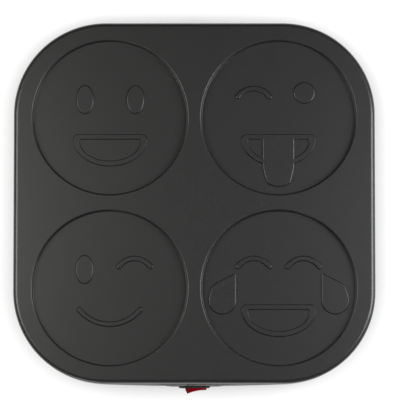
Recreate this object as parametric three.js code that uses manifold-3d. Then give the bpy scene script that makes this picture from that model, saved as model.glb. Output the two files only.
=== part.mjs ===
// Electric pancake maker: an open griddle with four wells on a moulded housing.
// Millimetres, +X to the right, +Y to the rear, +Z up, feet on z = 0.
import * as THREE from 'three';
import { mergeVertices } from 'three/addons/utils/BufferGeometryUtils.js';
import Module from 'manifold-3d';

const wasm = await Module();
wasm.setup();

// Driving sizes of the appliance
const width = 240;
const depth = 240;
const height = 70;
const cornerRadius = 61;
const seatGap = 0.3;
const overrun = 4;
const weld = 0.0001;

const plate = {
  height: 12, edgeRound: 3, skin: 4, skirt: 4, bossRadius: 4.6, bossInset: 16, bossDrop: 3.4,
  centreBossRadius: 5, ribWall: 2, ribDrop: 3.3,
};
// The wells fill the plate but for a margin round the edge and the land between two wells.
const well = {
  margin: 11.35, land: 8.1, depth: 4.2, draft: 0.4, rimRound: 0.8, floorRound: 0.6, floor: 3.8, wall: 2.6,
};
// The figures' sizes are those in a well of this radius.
const relief = { wellRadius: 52.3, rise: 1.2, root: 0.8, edge: 0.45, lip: 0.35 };
const eye = {
  offset: 16.8, ovalWidth: 12.1, ovalHeight: 19.6, ovalLift: 12.3, roundDiameter: 14.6, roundLift: 16.9,
};
const wink = { offset: 16.6, halfWidth: 12.7, top: 21.8, drop: 8.4, band: 3.8 };
const laugh = {
  halfWidth: 24.7, top: 10.8, bottom: 32.4, corner: 3.6, sideBand: 4.6, topBand: 3.7, bottomBand: 3.9,
};
const smile = { halfWidth: 22, bottom: 25.8, drop: 13.4, band: 3.7 };
const tongue = {
  halfWidth: 10.8, top: 12.6, shoulder: 28.7, tipHalfWidth: 7.2, tipShoulder: 41.8, tip: 45.9,
};
const tear = { bulbOffset: 37.5, bulbDrop: 8.3, bulbRadius: 9.3, tipOffset: 28.4, tipLift: 9.5 };

const housing = {
  inset: 0.8, wall: 2.5, bow: 1.1, footEdge: 1.2, lugWidth: 16, lugReach: 24, lugThickness: 4, lugHole: 2.3,
};
const pad = { width: 29, height: 20, corner: 3, stand: 0.8, slope: 9 };
const column = { radius: 4.4, hole: 2, top: 34, inset: 5.6, sideInset: 58, rib: 2.4 };
const cover = {
  thickness: 2.5, rimWall: 1.8, rimHeight: 5, screwHole: 2.2,
  slotWidth: 3, slotLength: 34, endShare: 0.48, slots: 4, slotStep: 9, slotOffset: 44,
};
const foot = { radius: 8, height: 5, inset: 36, taper: 1, round: 0.8, plugRadius: 3.4, plugLength: 5 };
const screw = {
  radius: 1.7, head: 3.6, headHeight: 2.1, crownShare: 0.6, hole: 2, bite: 10, coverBite: 14, sides: 8,
};
const smallScrew = {
  radius: 1.2, head: 2.5, headHeight: 1.5, crownShare: 0.6, hole: 1.5, bite: 5, sides: 6,
};

// Heating parts
const element = {
  radius: 3.25, inset: 58, straight: 22, endOffset: 7, endBend: 10, endInset: 36, sides: 8, steps: 64,
};
const pin = { radius: 1.2, length: 8, beadRadius: 2.9, beadLength: 5 };
const clamp = { length: 21, width: 9, thickness: 1.2, bossStep: 9.5, bossRadius: 3.2 };
const thermostat = {
  elementGap: 30, capRadius: 8.2, capHeight: 3, bodyRadius: 7.3, bodyHeight: 7,
  bladeWidth: 6.3, bladeReach: 12,
};
const bracket = { bossStep: 13, bossRadius: 2.8, bossDrop: 3, width: 9, thickness: 0.8 };
const fuse = {
  placeShare: 0.46, rearGap: 32, radius: 2, length: 12, wire: 0.6, wireReach: 12,
  bossStep: 8.5, clipWidth: 5, clipThickness: 0.7,
};
const shield = { drop: 26, inset: 32, corner: 34, sheet: 0.8, rim: 4.5 };

// Mains parts
const gland = {
  height: 22, neck: 6, bore: 3.6, flange: 8.2, flangeThickness: 1.8, nutRadius: 8.4, nutLength: 4,
};
const terminals = {
  wallGap: 24.7, width: 34, depth: 15, height: 11, bore: 1.6, tower: 3, towerRise: 2.5, step: 11, pair: 1.4,
};
const lead = { radius: 1.1, sides: 6, steps: 13, straight: 2.5, slack: 8, duck: 9.3 };
const earth = { width: 7, thickness: 0.8, length: 15 };

// Switch
const switchDrop = 23;
const rocker = {
  pivotDepth: 4.8, halfLength: 6.5, reach: 8.7, dish: 0.7, baseHalfLength: 7.4, base: 5.7,
  footHalfLength: 6.8, foot: 3.6, height: 10.2, travel: 22, wall: 1.2, hub: 2.6, hubWall: 1,
  axleRadius: 1.2, axleLength: 0.8,
  stemRadius: 2.2, stemDrop: 3.2,
};
const caseSize = {
  bezelWidth: 21, bezelHeight: 15, bezelStand: 0.9, bezelSlope: 0.8, cutWidth: 19.6, cutHeight: 13,
  depth: 17, wall: 0.8, floor: 1.6,
};
const plunger = { radius: 1.3, reach: 6, length: 5.4 };
const spring = { coil: 0.95, wire: 0.22, turns: 4, room: 3.9, sides: 5, stepsPerTurn: 8 };
const lever = { halfLength: 6.2, thickness: 0.8, width: 5, tilt: 8, stud: 0.9, studRise: 0.5, studInset: 1 };
const blade = { width: 4.8, thickness: 0.8, length: 7, spread: 6 };
const lamp = { radius: 1.2, length: 6.4, offset: 4.1, reach: 5.2 };

// Turns a closed three.js geometry into a solid with shared corners.
function solidOf(geometry) {
  const bare = (geometry.index ? geometry.toNonIndexed() : geometry).clone();
  bare.deleteAttribute('normal');
  bare.deleteAttribute('uv');
  const merged = mergeVertices(bare, weld);
  const vertProperties = new Float32Array(merged.attributes.position.array);
  const triVerts = new Uint32Array(merged.index.array);
  return new wasm.Manifold(new wasm.Mesh({ numProp: 3, vertProperties, triVerts }));
}

function geometryOf(solid) {
  const mesh = solid.getMesh();
  const geometry = new THREE.BufferGeometry();
  geometry.setAttribute('position', new THREE.BufferAttribute(new Float32Array(mesh.vertProperties), 3));
  geometry.setIndex(new THREE.BufferAttribute(new Uint32Array(mesh.triVerts), 1));
  return geometry;
}

function join(...solids) {
  return solids.reduce((sum, next) => sum.add(next));
}

function cut(solid, ...cutters) {
  return cutters.reduce((rest, cutter) => rest.subtract(cutter), solid);
}

// Basic forms, each given by its lowest and highest place.
function block(x0, x1, y0, y1, z0, z1) {
  const geometry = new THREE.BoxGeometry(x1 - x0, y1 - y0, z1 - z0);
  return solidOf(geometry.translate((x0 + x1) / 2, (y0 + y1) / 2, (z0 + z1) / 2));
}

function post(x, y, radius, z0, z1, sides = 12) {
  const geometry = new THREE.CylinderGeometry(radius, radius, z1 - z0, sides);
  return solidOf(geometry.rotateX(Math.PI / 2).translate(x, y, (z0 + z1) / 2));
}

function rodAlongY(x, z, radius, y0, y1, sides = 16) {
  const geometry = new THREE.CylinderGeometry(radius, radius, y1 - y0, sides);
  return solidOf(geometry.translate(x, (y0 + y1) / 2, z));
}

// A profile of radius and height pairs, turned about a vertical axis at x, y.
function turned(profile, x, y, sides) {
  const geometry = new THREE.LatheGeometry(profile, sides);
  return solidOf(geometry.rotateX(Math.PI / 2).translate(x, y, 0));
}

function prism(shape, z0, z1, curveSegments = 8) {
  const geometry = new THREE.ExtrudeGeometry(shape, { depth: z1 - z0, bevelEnabled: false, curveSegments });
  return solidOf(geometry.translate(0, 0, z0));
}

// A quarter round from one corner of a profile to the next, both ends included.
function arcPoints(cx, cy, radius, from, to, steps) {
  return Array.from({ length: steps + 1 }, (_, i) => {
    const angle = from + (to - from) * i / steps;
    return new THREE.Vector2(cx + radius * Math.cos(angle), cy + radius * Math.sin(angle));
  });
}

// The appliance's outline, drawn in by an inset and bowed out at the front.
function outline(inset, bow = 0) {
  const x = width / 2 - inset;
  const y = depth / 2 - inset;
  const r = cornerRadius - inset;
  const shape = new THREE.Shape();
  shape.moveTo(-x + r, -y);
  if (bow > 0) {
    shape.quadraticCurveTo(0, -y - 2 * bow, x - r, -y);
  } else {
    shape.lineTo(x - r, -y);
  }
  shape.absarc(x - r, -y + r, r, -Math.PI / 2, 0, false);
  shape.absarc(x - r, y - r, r, 0, Math.PI / 2, false);
  shape.absarc(-x + r, y - r, r, Math.PI / 2, Math.PI, false);
  shape.absarc(-x + r, -y + r, r, Math.PI, 3 * Math.PI / 2, false);
  return shape;
}

function roundedRectangle(w, h, r) {
  const shape = new THREE.Shape();
  shape.moveTo(-w / 2 + r, -h / 2);
  shape.lineTo(w / 2 - r, -h / 2);
  shape.absarc(w / 2 - r, -h / 2 + r, r, -Math.PI / 2, 0, false);
  shape.absarc(w / 2 - r, h / 2 - r, r, 0, Math.PI / 2, false);
  shape.absarc(-w / 2 + r, h / 2 - r, r, Math.PI / 2, Math.PI, false);
  shape.absarc(-w / 2 + r, -h / 2 + r, r, Math.PI, 3 * Math.PI / 2, false);
  return shape;
}

// Heights and places shared by the pieces
const plateTop = height;
const plateFoot = height - plate.height;
const housingTop = plateFoot - seatGap;
const coverFoot = foot.height;
const coverTop = coverFoot + cover.thickness;
const wellFloor = plateTop - well.depth;
const wellUnderside = wellFloor - well.floor;
const skinUnderside = plateTop - plate.skin;
const lugTop = plateFoot - plate.bossDrop - seatGap;
const lugFoot = lugTop - housing.lugThickness;
const switchHeight = plateFoot - switchDrop;

const bossX = width / 2 - plate.bossInset;
const bossY = depth / 2 - plate.bossInset;
const bossPlaces = [[bossX, 0], [0, bossY], [-bossX, 0], [0, -bossY]];
const wellX = (width / 2 - well.margin + well.land / 2) / 2;
const wellY = (depth / 2 - well.margin + well.land / 2) / 2;
const wellRadius = Math.min(wellX, wellY) - well.land / 2;
const wellPlaces = [[-1, 1], [1, 1], [-1, -1], [1, -1]].map(([sx, sy]) => [sx * wellX, sy * wellY]);

const wallOutside = depth / 2 - housing.inset;
const wallInside = wallOutside - housing.wall;
const sideInside = width / 2 - housing.inset - housing.wall;

// Raised figures on the well floors
function ellipse(x, y, w, h) {
  const shape = new THREE.Shape();
  shape.absellipse(x, y, w / 2, h / 2, 0, 2 * Math.PI, false);
  return shape;
}

// A band of even width along an arch, with round ends.
function archBand(x, top, halfWidth, drop, band) {
  const chord = halfWidth - band / 2;
  const rise = drop - band;
  const radius = (chord * chord + rise * rise) / (2 * rise);
  const half = Math.asin(chord / radius);
  const cy = top - band / 2 - radius;
  const left = Math.PI / 2 + half;
  const right = Math.PI / 2 - half;
  const shape = new THREE.Shape();
  shape.absarc(x, cy, radius + band / 2, left, right, true);
  const endX = radius * Math.cos(right);
  const endY = cy + radius * Math.sin(right);
  shape.absarc(x + endX, endY, band / 2, right, right - Math.PI, true);
  shape.absarc(x, cy, radius - band / 2, right, left, false);
  shape.absarc(x - endX, endY, band / 2, left - Math.PI, left - 2 * Math.PI, true);
  return shape;
}

// An open mouth: flat along the top, a half ellipse below.
function bowl(halfWidth, top, bottom, corner) {
  const shape = new THREE.Shape();
  shape.moveTo(-halfWidth, -top - corner);
  shape.absellipse(0, -top - corner, halfWidth, bottom - top - corner, Math.PI, 2 * Math.PI, false);
  shape.quadraticCurveTo(halfWidth, -top, halfWidth - corner, -top);
  shape.lineTo(-halfWidth + corner, -top);
  shape.quadraticCurveTo(-halfWidth, -top, -halfWidth, -top - corner);
  return shape;
}

function mouthBand() {
  const shape = bowl(laugh.halfWidth, laugh.top, laugh.bottom, laugh.corner);
  const innerWidth = laugh.halfWidth - laugh.sideBand;
  const innerBottom = laugh.bottom - laugh.bottomBand;
  const inner = bowl(innerWidth, laugh.top + laugh.topBand, innerBottom, laugh.corner / 3);
  shape.holes.push(inner);
  return shape;
}

function tongueShape() {
  const { halfWidth, top, shoulder, tipHalfWidth, tipShoulder, tip } = tongue;
  const shape = new THREE.Shape();
  shape.moveTo(-halfWidth, -top);
  shape.lineTo(-halfWidth, -shoulder);
  shape.quadraticCurveTo(-halfWidth, -(shoulder + tipShoulder) / 2, -tipHalfWidth, -tipShoulder);
  shape.bezierCurveTo(-tipHalfWidth / 2, -tip, tipHalfWidth / 2, -tip, tipHalfWidth, -tipShoulder);
  shape.quadraticCurveTo(halfWidth, -(shoulder + tipShoulder) / 2, halfWidth, -shoulder);
  shape.lineTo(halfWidth, -top);
  return shape;
}

// A drop whose tip points up and inwards; side is -1 for the left one.
function tearShape(side) {
  const cx = tear.bulbOffset;
  const cy = -tear.bulbDrop;
  const axis = Math.atan2(tear.tipLift - cy, tear.tipOffset - cx);
  const reach = Math.hypot(tear.tipOffset - cx, tear.tipLift - cy);
  const half = Math.acos(tear.bulbRadius / reach);
  const shape = new THREE.Shape();
  shape.moveTo(side * tear.tipOffset, tear.tipLift);
  const steps = 12;
  for (let i = 0; i <= steps; i += 1) {
    const angle = axis + half + (2 * Math.PI - 2 * half) * i / steps;
    shape.lineTo(side * (cx + tear.bulbRadius * Math.cos(angle)), cy + tear.bulbRadius * Math.sin(angle));
  }
  return shape;
}

function raised(shape, x, y, curveSegments, turn = 0) {
  const fit = wellRadius / relief.wellRadius;
  const geometry = new THREE.ExtrudeGeometry(shape, {
    depth: relief.root + relief.rise - 2 * relief.edge,
    bevelThickness: relief.edge,
    bevelSize: relief.lip,
    bevelOffset: -relief.lip,
    bevelSegments: 1,
    curveSegments,
  });
  geometry.scale(fit, fit, 1).rotateZ(turn);
  return solidOf(geometry.translate(x, y, wellFloor - relief.root + relief.edge));
}

function closedEye(side, x, y) {
  const arch = archBand(side * wink.offset, wink.top, wink.halfWidth, wink.drop, wink.band);
  return raised(arch, x, y, 3);
}

function openEye(side, x, y) {
  return raised(ellipse(side * eye.offset, eye.ovalLift, eye.ovalWidth, eye.ovalHeight), x, y, 6);
}

function roundEye(x, y) {
  return raised(ellipse(eye.offset, eye.roundLift, eye.roundDiameter, eye.roundDiameter), x, y, 6);
}

function smilingMouth(x, y) {
  return raised(archBand(0, smile.bottom, smile.halfWidth, smile.drop, smile.band), x, y, 4, Math.PI);
}

// One figure for each well, in the order of wellPlaces
const figures = [
  (x, y) => join(openEye(-1, x, y), openEye(1, x, y), raised(mouthBand(), x, y, 4)),
  (x, y) => join(
    closedEye(-1, x, y),
    roundEye(x, y),
    raised(mouthBand(), x, y, 4),
    raised(tongueShape(), x, y, 4),
  ),
  (x, y) => join(openEye(-1, x, y), closedEye(1, x, y), smilingMouth(x, y)),
  (x, y) => join(
    closedEye(-1, x, y),
    closedEye(1, x, y),
    raised(mouthBand(), x, y, 4),
    raised(tearShape(-1), x, y, 1),
    raised(tearShape(1), x, y, 1),
  ),
];

// Places of the heating parts under the plate
const elementHeight = wellUnderside - seatGap - element.radius;
const clampBossFoot = elementHeight - element.radius;
const shieldTop = height - shield.drop;
const shieldY = depth / 2 - shield.inset;
const elementX = width / 2 - element.inset;
const elementY = depth / 2 - element.inset;
const elementBend = Math.min(elementX, elementY) - element.straight;
const elementEnd = depth / 2 - element.endInset;
const clampPlaces = [[-elementX, 0], [elementX, 0], [0, -elementY]];
const clampBosses = clampPlaces.map(([x, y]) => [
  x - Math.sign(x) * clamp.bossStep,
  y - Math.sign(y) * clamp.bossStep,
]);
const thermostatX = thermostat.elementGap - elementX;
const fuseX = wellX - fuse.placeShare * wellRadius;
const sensorY = elementY - fuse.rearGap;
const bracketBosses = [-1, 1].map((side) => [thermostatX + side * bracket.bossStep, sensorY]);
const fuseBoss = [fuseX - fuse.bossStep, sensorY];

// The element's rounded square, widened or narrowed by an offset.
function elementOutline(offset) {
  return roundedRectangle(2 * (elementX + offset), 2 * (elementY + offset), elementBend + offset);
}

// Cast griddle plate
function makePlate() {
  const round = plate.edgeRound;
  const slab = new THREE.ExtrudeGeometry(outline(0), {
    depth: plate.height + overrun - 2 * round,
    bevelThickness: round,
    bevelSize: round,
    bevelOffset: -round,
    bevelSegments: 2,
    curveSegments: 5,
  }).translate(0, 0, plateFoot - overrun + round);
  let solid = cut(solidOf(slab), block(-width, width, -depth, depth, -overrun, plateFoot));
  solid = cut(solid, prism(outline(plate.skirt), plateFoot - overrun, skinUnderside, 3));

  const rimRadius = wellRadius - well.rimRound;
  const floorRadius = wellRadius - well.rimRound - well.draft;
  const { floorRound } = well;
  const cutterProfile = [
    new THREE.Vector2(0, wellFloor),
    ...arcPoints(floorRadius - floorRound, wellFloor + floorRound, floorRound, -Math.PI / 2, 0, 1),
    ...arcPoints(wellRadius, plateTop - well.rimRound, well.rimRound, Math.PI, Math.PI / 2, 2),
    new THREE.Vector2(wellRadius, plateTop + overrun),
    new THREE.Vector2(0, plateTop + overrun),
  ];
  const bossTop = skinUnderside + plate.skin / 2;
  for (const [x, y] of wellPlaces) {
    solid = solid.add(post(x, y, rimRadius + well.wall, wellUnderside, bossTop, 24));
  }
  const ribOuter = elementOutline(element.radius + seatGap + plate.ribWall);
  ribOuter.holes.push(elementOutline(element.radius + seatGap));
  const ribInner = elementOutline(-element.radius - seatGap);
  ribInner.holes.push(elementOutline(-element.radius - seatGap - plate.ribWall));
  const ribFoot = wellUnderside - plate.ribDrop;
  const exit = element.endOffset + element.endBend + element.radius;
  const exitCut = block(-exit, exit, 0, depth / 2 - plate.skirt, ribFoot - overrun, wellUnderside);
  solid = join(
    solid,
    cut(prism(ribOuter, ribFoot, bossTop, 4), exitCut),
    cut(prism(ribInner, ribFoot, bossTop, 4), exitCut),
  );
  const bossFoot = plateFoot - plate.bossDrop;
  for (const [x, y] of bossPlaces) {
    solid = solid.add(post(x, y, plate.bossRadius, bossFoot, bossTop));
  }
  solid = solid.add(post(0, 0, plate.centreBossRadius, shieldTop + seatGap, bossTop));
  for (const [x, y] of clampBosses) {
    solid = solid.add(post(x, y, clamp.bossRadius, clampBossFoot, bossTop, 8));
  }
  const sensorBossFoot = wellUnderside - bracket.bossDrop;
  for (const [x, y] of [...bracketBosses, fuseBoss]) {
    solid = solid.add(post(x, y, bracket.bossRadius, sensorBossFoot, bossTop, 8));
  }
  wellPlaces.forEach(([x, y], i) => {
    const cutter = turned(cutterProfile, x, y, 36);
    solid = cut(solid, cutter).add(figures[i](x, y));
  });
  const drills = [
    ...bossPlaces.map(([x, y]) => post(x, y, screw.hole, bossFoot - overrun, skinUnderside, 6)),
    ...clampBosses.map(([x, y]) => post(x, y, smallScrew.hole, clampBossFoot - overrun, wellUnderside, 6)),
    ...[...bracketBosses, fuseBoss].map(([x, y]) => (
      post(x, y, smallScrew.hole, sensorBossFoot - overrun, wellUnderside, 6)
    )),
  ];
  return cut(solid, ...drills, post(0, 0, screw.hole, shieldTop - overrun, skinUnderside, 10));
}

// Moulded housing: an open ring of walls with a raised pad for the switch
const frontFace = wallOutside + housing.bow;
const padFace = frontFace + pad.stand;

// Four places towards the corners: front and rear on the left, then on the right.
function corners(x, y) {
  return [[-x, -y], [-x, y], [x, -y], [x, y]];
}

const columnPlaces = corners(width / 2 - column.sideInset, wallInside - column.inset);
const footPlaces = corners(width / 2 - foot.inset, depth / 2 - foot.inset);

function makeHousing() {
  const edge = housing.footEdge;
  const skin = new THREE.ExtrudeGeometry(outline(housing.inset, housing.bow), {
    depth: housingTop + overrun - coverFoot - 2 * edge,
    bevelThickness: edge,
    bevelSize: edge,
    bevelOffset: -edge,
    bevelSegments: 1,
    curveSegments: 6,
  }).translate(0, 0, coverFoot + edge);
  let solid = cut(solidOf(skin), block(-width, width, -depth, depth, housingTop, housingTop + 2 * overrun));
  solid = cut(solid, prism(outline(housing.inset + housing.wall), 0, height, 5));

  const rise = new THREE.ExtrudeGeometry(roundedRectangle(pad.width, pad.height, pad.corner), {
    depth: housing.wall / 3,
    bevelThickness: pad.stand,
    bevelSize: pad.slope,
    bevelSegments: 2,
    curveSegments: 2,
  }).rotateX(Math.PI / 2).translate(0, -padFace + pad.stand + housing.wall / 3, switchHeight);
  solid = solid.add(solidOf(rise));

  const w = housing.lugWidth / 2;
  const nearX = width / 2 - housing.lugReach;
  const nearY = depth / 2 - housing.lugReach;
  const farX = sideInside + housing.wall / 2;
  const farY = wallInside + housing.wall / 2;
  solid = join(
    solid,
    block(nearX, farX, -w, w, lugFoot, lugTop),
    block(-farX, -nearX, -w, w, lugFoot, lugTop),
    block(-w, w, nearY, farY, lugFoot, lugTop),
    block(-w, w, -farY, -nearY, lugFoot, lugTop),
  );
  const columnFoot = coverTop + seatGap;
  const rib = column.rib / 2;
  for (const [x, y] of columnPlaces) {
    const [y0, y1] = [y, Math.sign(y) * farY].sort((m, n) => m - n);
    solid = join(
      solid,
      post(x, y, column.radius, columnFoot, column.top),
      block(x - rib, x + rib, y0, y1, columnFoot, column.top),
    );
  }
  const cutX = caseSize.cutWidth / 2;
  const cutZ = caseSize.cutHeight / 2;
  return cut(
    solid,
    block(-cutX, cutX, -depth, -wallInside + overrun, switchHeight - cutZ, switchHeight + cutZ),
    rodAlongY(0, gland.height, gland.neck + seatGap, wallInside - overrun, depth),
    ...bossPlaces.map(([x, y]) => post(x, y, housing.lugHole, lugFoot - overrun, lugTop + overrun, 8)),
    ...columnPlaces.map(([x, y]) => post(x, y, column.hole, 0, column.top - overrun, 8)),
  );
}

// Bottom cover with its vents, seated inside the housing wall
function makeCover() {
  const inset = housing.inset + housing.wall + seatGap;
  let solid = prism(outline(inset), coverFoot, coverTop, 4);
  const rim = outline(inset);
  rim.holes.push(outline(inset + cover.rimWall));
  solid = solid.add(prism(rim, coverFoot + cover.thickness / 2, coverTop + cover.rimHeight, 4));
  for (const [x, y] of columnPlaces) {
    const reach = column.radius + 2 * seatGap;
    const wallY = Math.sign(y) * depth / 2;
    const low = Math.min(y - Math.sign(y) * reach, wallY);
    const high = Math.max(y - Math.sign(y) * reach, wallY);
    solid = cut(solid, block(x - reach, x + reach, low, high, coverTop, height));
  }
  for (const side of [-1, 1]) {
    for (let i = 0; i < cover.slots; i += 1) {
      const x = side * cover.slotOffset + (i - (cover.slots - 1) / 2) * cover.slotStep;
      const slot = roundedRectangle(cover.slotWidth, cover.slotLength, cover.slotWidth * cover.endShare);
      solid = cut(solid, solidOf(new THREE.ExtrudeGeometry(slot, {
        depth: 2 * overrun, bevelEnabled: false, curveSegments: 1,
      }).translate(x, 0, coverFoot - overrun / 2)));
    }
  }
  return cut(
    solid,
    ...columnPlaces.map(([x, y]) => post(x, y, cover.screwHole, 0, coverTop + overrun, 8)),
    ...footPlaces.map(([x, y]) => post(x, y, foot.plugRadius + seatGap, 0, coverTop + overrun, 10)),
    post(terminals.step / 2, blockY, smallScrew.radius + seatGap, 0, coverTop + overrun, 8),
  );
}

function makeFoot([x, y]) {
  const top = coverFoot - seatGap;
  const grip = foot.plugRadius + foot.taper;
  return turned([
    new THREE.Vector2(0, 0),
    ...arcPoints(foot.radius - foot.taper - foot.round, foot.round, foot.round, -Math.PI / 2, 0, 1),
    new THREE.Vector2(foot.radius, top),
    new THREE.Vector2(foot.plugRadius, top),
    new THREE.Vector2(foot.plugRadius, coverTop + seatGap),
    new THREE.Vector2(grip, coverTop + seatGap),
    new THREE.Vector2(foot.plugRadius - foot.taper, coverTop + foot.plugLength / 2),
    new THREE.Vector2(0, coverTop + foot.plugLength / 2),
  ], x, y, 12);
}

// A pan-head screw seen from below: its head under the given height, its shank upwards.
function makeScrew(size, x, y, seat, bite) {
  const head = seat - seatGap;
  return turned([
    new THREE.Vector2(0, head - size.headHeight),
    new THREE.Vector2(size.head * size.crownShare, head - size.headHeight),
    new THREE.Vector2(size.head, head - size.headHeight * size.crownShare),
    new THREE.Vector2(size.head, head),
    new THREE.Vector2(size.radius, head),
    new THREE.Vector2(size.radius, seat + bite - size.radius),
    new THREE.Vector2(0, seat + bite),
  ], x, y, size.sides);
}

// Heating element: one round tube with both ends led out to the rear
class FlatCurve extends THREE.Curve {
  constructor(path, z) {
    super();
    this.path = path;
    this.z = z;
  }

  getPoint(t, target = new THREE.Vector3()) {
    const { x, y } = this.path.getPointAt(t);
    return target.set(x, y, this.z);
  }
}

function tube(curve, radius, sides, steps) {
  const section = new THREE.Shape();
  for (let i = 0; i < sides; i += 1) {
    const angle = 2 * Math.PI * i / sides;
    section[i ? 'lineTo' : 'moveTo'](radius * Math.cos(angle), radius * Math.sin(angle));
  }
  return solidOf(new THREE.ExtrudeGeometry(section, { extrudePath: curve, steps, bevelEnabled: false }));
}

function makeElement() {
  const { endOffset, endBend } = element;
  const x = elementX - elementBend;
  const y = elementY - elementBend;
  const path = new THREE.Path();
  path.moveTo(-endOffset, elementEnd);
  path.lineTo(-endOffset, elementY + endBend);
  path.absarc(-endOffset - endBend, elementY + endBend, endBend, 0, -Math.PI / 2, true);
  path.lineTo(-x, elementY);
  path.absarc(-x, y, elementBend, Math.PI / 2, Math.PI, false);
  path.lineTo(-elementX, -y);
  path.absarc(-x, -y, elementBend, Math.PI, 3 * Math.PI / 2, false);
  path.lineTo(x, -elementY);
  path.absarc(x, -y, elementBend, -Math.PI / 2, 0, false);
  path.lineTo(elementX, y);
  path.absarc(x, y, elementBend, 0, Math.PI / 2, false);
  path.lineTo(endOffset + endBend, elementY);
  path.absarc(endOffset + endBend, elementY + endBend, endBend, 3 * Math.PI / 2, Math.PI, true);
  path.lineTo(endOffset, elementEnd);
  return tube(new FlatCurve(path, elementHeight), element.radius, element.sides, element.steps);
}

function makeBead(side) {
  const x = side * element.endOffset;
  const from = elementEnd + seatGap;
  const bore = rodAlongY(x, elementHeight, pin.radius + seatGap, 0, depth, 8);
  return cut(rodAlongY(x, elementHeight, pin.beadRadius, from, from + pin.beadLength, 12), bore);
}

function makePin(side) {
  const from = elementEnd + seatGap;
  return rodAlongY(side * element.endOffset, elementHeight, pin.radius, from, from + pin.length, 8);
}

// A strap that holds the element up against the plate, drilled for its screw
function makeClamp([x, y]) {
  const dx = Math.sign(x);
  const dy = Math.sign(y);
  const top = clampBossFoot - seatGap;
  const inner = clamp.bossStep + clamp.bossRadius;
  const outer = clamp.length - inner;
  const half = clamp.width / 2;
  const ends = (place, sign) => (sign ? [place - sign * inner, place + sign * outer] : [-half, half]);
  const [xa, xb] = ends(x, dx).sort((m, n) => m - n);
  const [ya, yb] = ends(y, dy).sort((m, n) => m - n);
  const strap = block(xa, xb, ya, yb, top - clamp.thickness, top);
  return cut(strap, post(x - dx * clamp.bossStep, y - dy * clamp.bossStep, smallScrew.hole, 0, height, 8));
}

// Thermostat: a metal cap against the plate, a moulded body with two blades below
function makeThermostat() {
  const { capRadius, capHeight, bodyRadius, bodyHeight, bladeWidth, bladeReach } = thermostat;
  const [x, y] = [thermostatX, sensorY];
  const top = wellUnderside - seatGap;
  const low = top - capHeight - bodyHeight;
  const bladeFoot = low + seatGap;
  const half = bladeWidth / 2;
  return join(
    post(x, y, capRadius, top - capHeight, top, 20),
    post(x, y, bodyRadius, low, top - capHeight / 2, 20),
    block(x - half, x + half, y - bladeReach, y + bladeReach, bladeFoot, bladeFoot + blade.thickness),
  );
}

function makeBracket() {
  const reach = bracket.bossStep + bracket.width / 2;
  const top = wellUnderside - bracket.bossDrop - seatGap;
  const seat = Math.min(top, wellUnderside - seatGap - thermostat.capHeight - seatGap);
  const [x, y] = [thermostatX, sensorY];
  const half = bracket.width / 2;
  const bar = block(x - reach, x + reach, y - half, y + half, seat - bracket.thickness, seat);
  const ring = post(x, y, thermostat.capRadius + bracket.thickness, seat - bracket.thickness, seat, 20);
  return cut(
    join(bar, ring),
    post(x, y, thermostat.bodyRadius + seatGap, 0, height, 20),
    ...bracketBosses.map(([bx, by]) => post(bx, by, smallScrew.hole, 0, height, 8)),
  );
}

// Thermal fuse: a barrel with a wire at each end, held up by a saddle clip
const fuseHeight = wellUnderside - seatGap - fuse.radius;

function makeFuse() {
  const half = fuse.length / 2;
  const reach = half + fuse.wireReach;
  return join(
    rodAlongY(fuseX, fuseHeight, fuse.radius, sensorY - half, sensorY + half, 12),
    rodAlongY(fuseX, fuseHeight, fuse.wire, sensorY - reach, sensorY + reach, 6),
  );
}

function makeFuseClip() {
  const t = fuse.clipThickness;
  const w = fuse.clipWidth / 2;
  const [bossX0] = fuseBoss;
  const seat = wellUnderside - bracket.bossDrop - seatGap;
  const under = fuseHeight - fuse.radius - seatGap;
  const left = bossX0 - bracket.bossRadius;
  const step = fuseX - fuse.radius - seatGap;
  const right = fuseX + fuse.radius + seatGap;
  return cut(
    join(
      block(left, step, sensorY - w, sensorY + w, seat - t, seat),
      block(step - t, step, sensorY - w, sensorY + w, under - t, seat),
      block(step - t, right + t, sensorY - w, sensorY + w, under - t, under),
      block(right, right + t, sensorY - w, sensorY + w, under - t, wellUnderside - seatGap),
    ),
    post(bossX0, sensorY, smallScrew.hole, 0, height, 8),
  );
}

// Bright sheet tray below the element, held at its middle
function makeShield() {
  const side = width - 2 * shield.inset;
  const long = 2 * shieldY;
  const sheet = prism(roundedRectangle(side, long, shield.corner), shieldTop - shield.sheet, shieldTop, 3);
  const rim = roundedRectangle(side, long, shield.corner);
  const skin = 2 * shield.sheet;
  rim.holes.push(roundedRectangle(side - skin, long - skin, shield.corner - shield.sheet));
  const tray = sheet.add(prism(rim, shieldTop - shield.sheet / 2, shieldTop + shield.rim, 3));
  return cut(tray, post(0, 0, screw.radius + seatGap, 0, height, 8));
}

// Bush of the mains lead in the rear wall: flange, slotted neck and bore, with its nut inside
function makeGland() {
  const face = wallOutside + seatGap;
  const end = wallInside - gland.nutLength - 2 * seatGap;
  return cut(
    join(
      rodAlongY(0, gland.height, gland.flange, face, face + gland.flangeThickness, 16),
      rodAlongY(0, gland.height, gland.neck, end, face + gland.flangeThickness / 2, 16),
    ),
    rodAlongY(0, gland.height, gland.bore, 0, depth, 12),
  );
}

function makeGlandNut() {
  const face = wallInside - seatGap;
  return cut(
    rodAlongY(0, gland.height, gland.nutRadius, face - gland.nutLength, face, 6),
    rodAlongY(0, gland.height, gland.neck + seatGap, 0, depth, 16),
  );
}

// Terminal block with three ways, standing on the bottom cover
const blockY = wallInside - terminals.wallGap;
const blockFoot = coverTop + seatGap;
const portZ = blockFoot + terminals.height / 2;
const blockPorts = [-1, 0, 1].map((i) => i * terminals.step);

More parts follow.
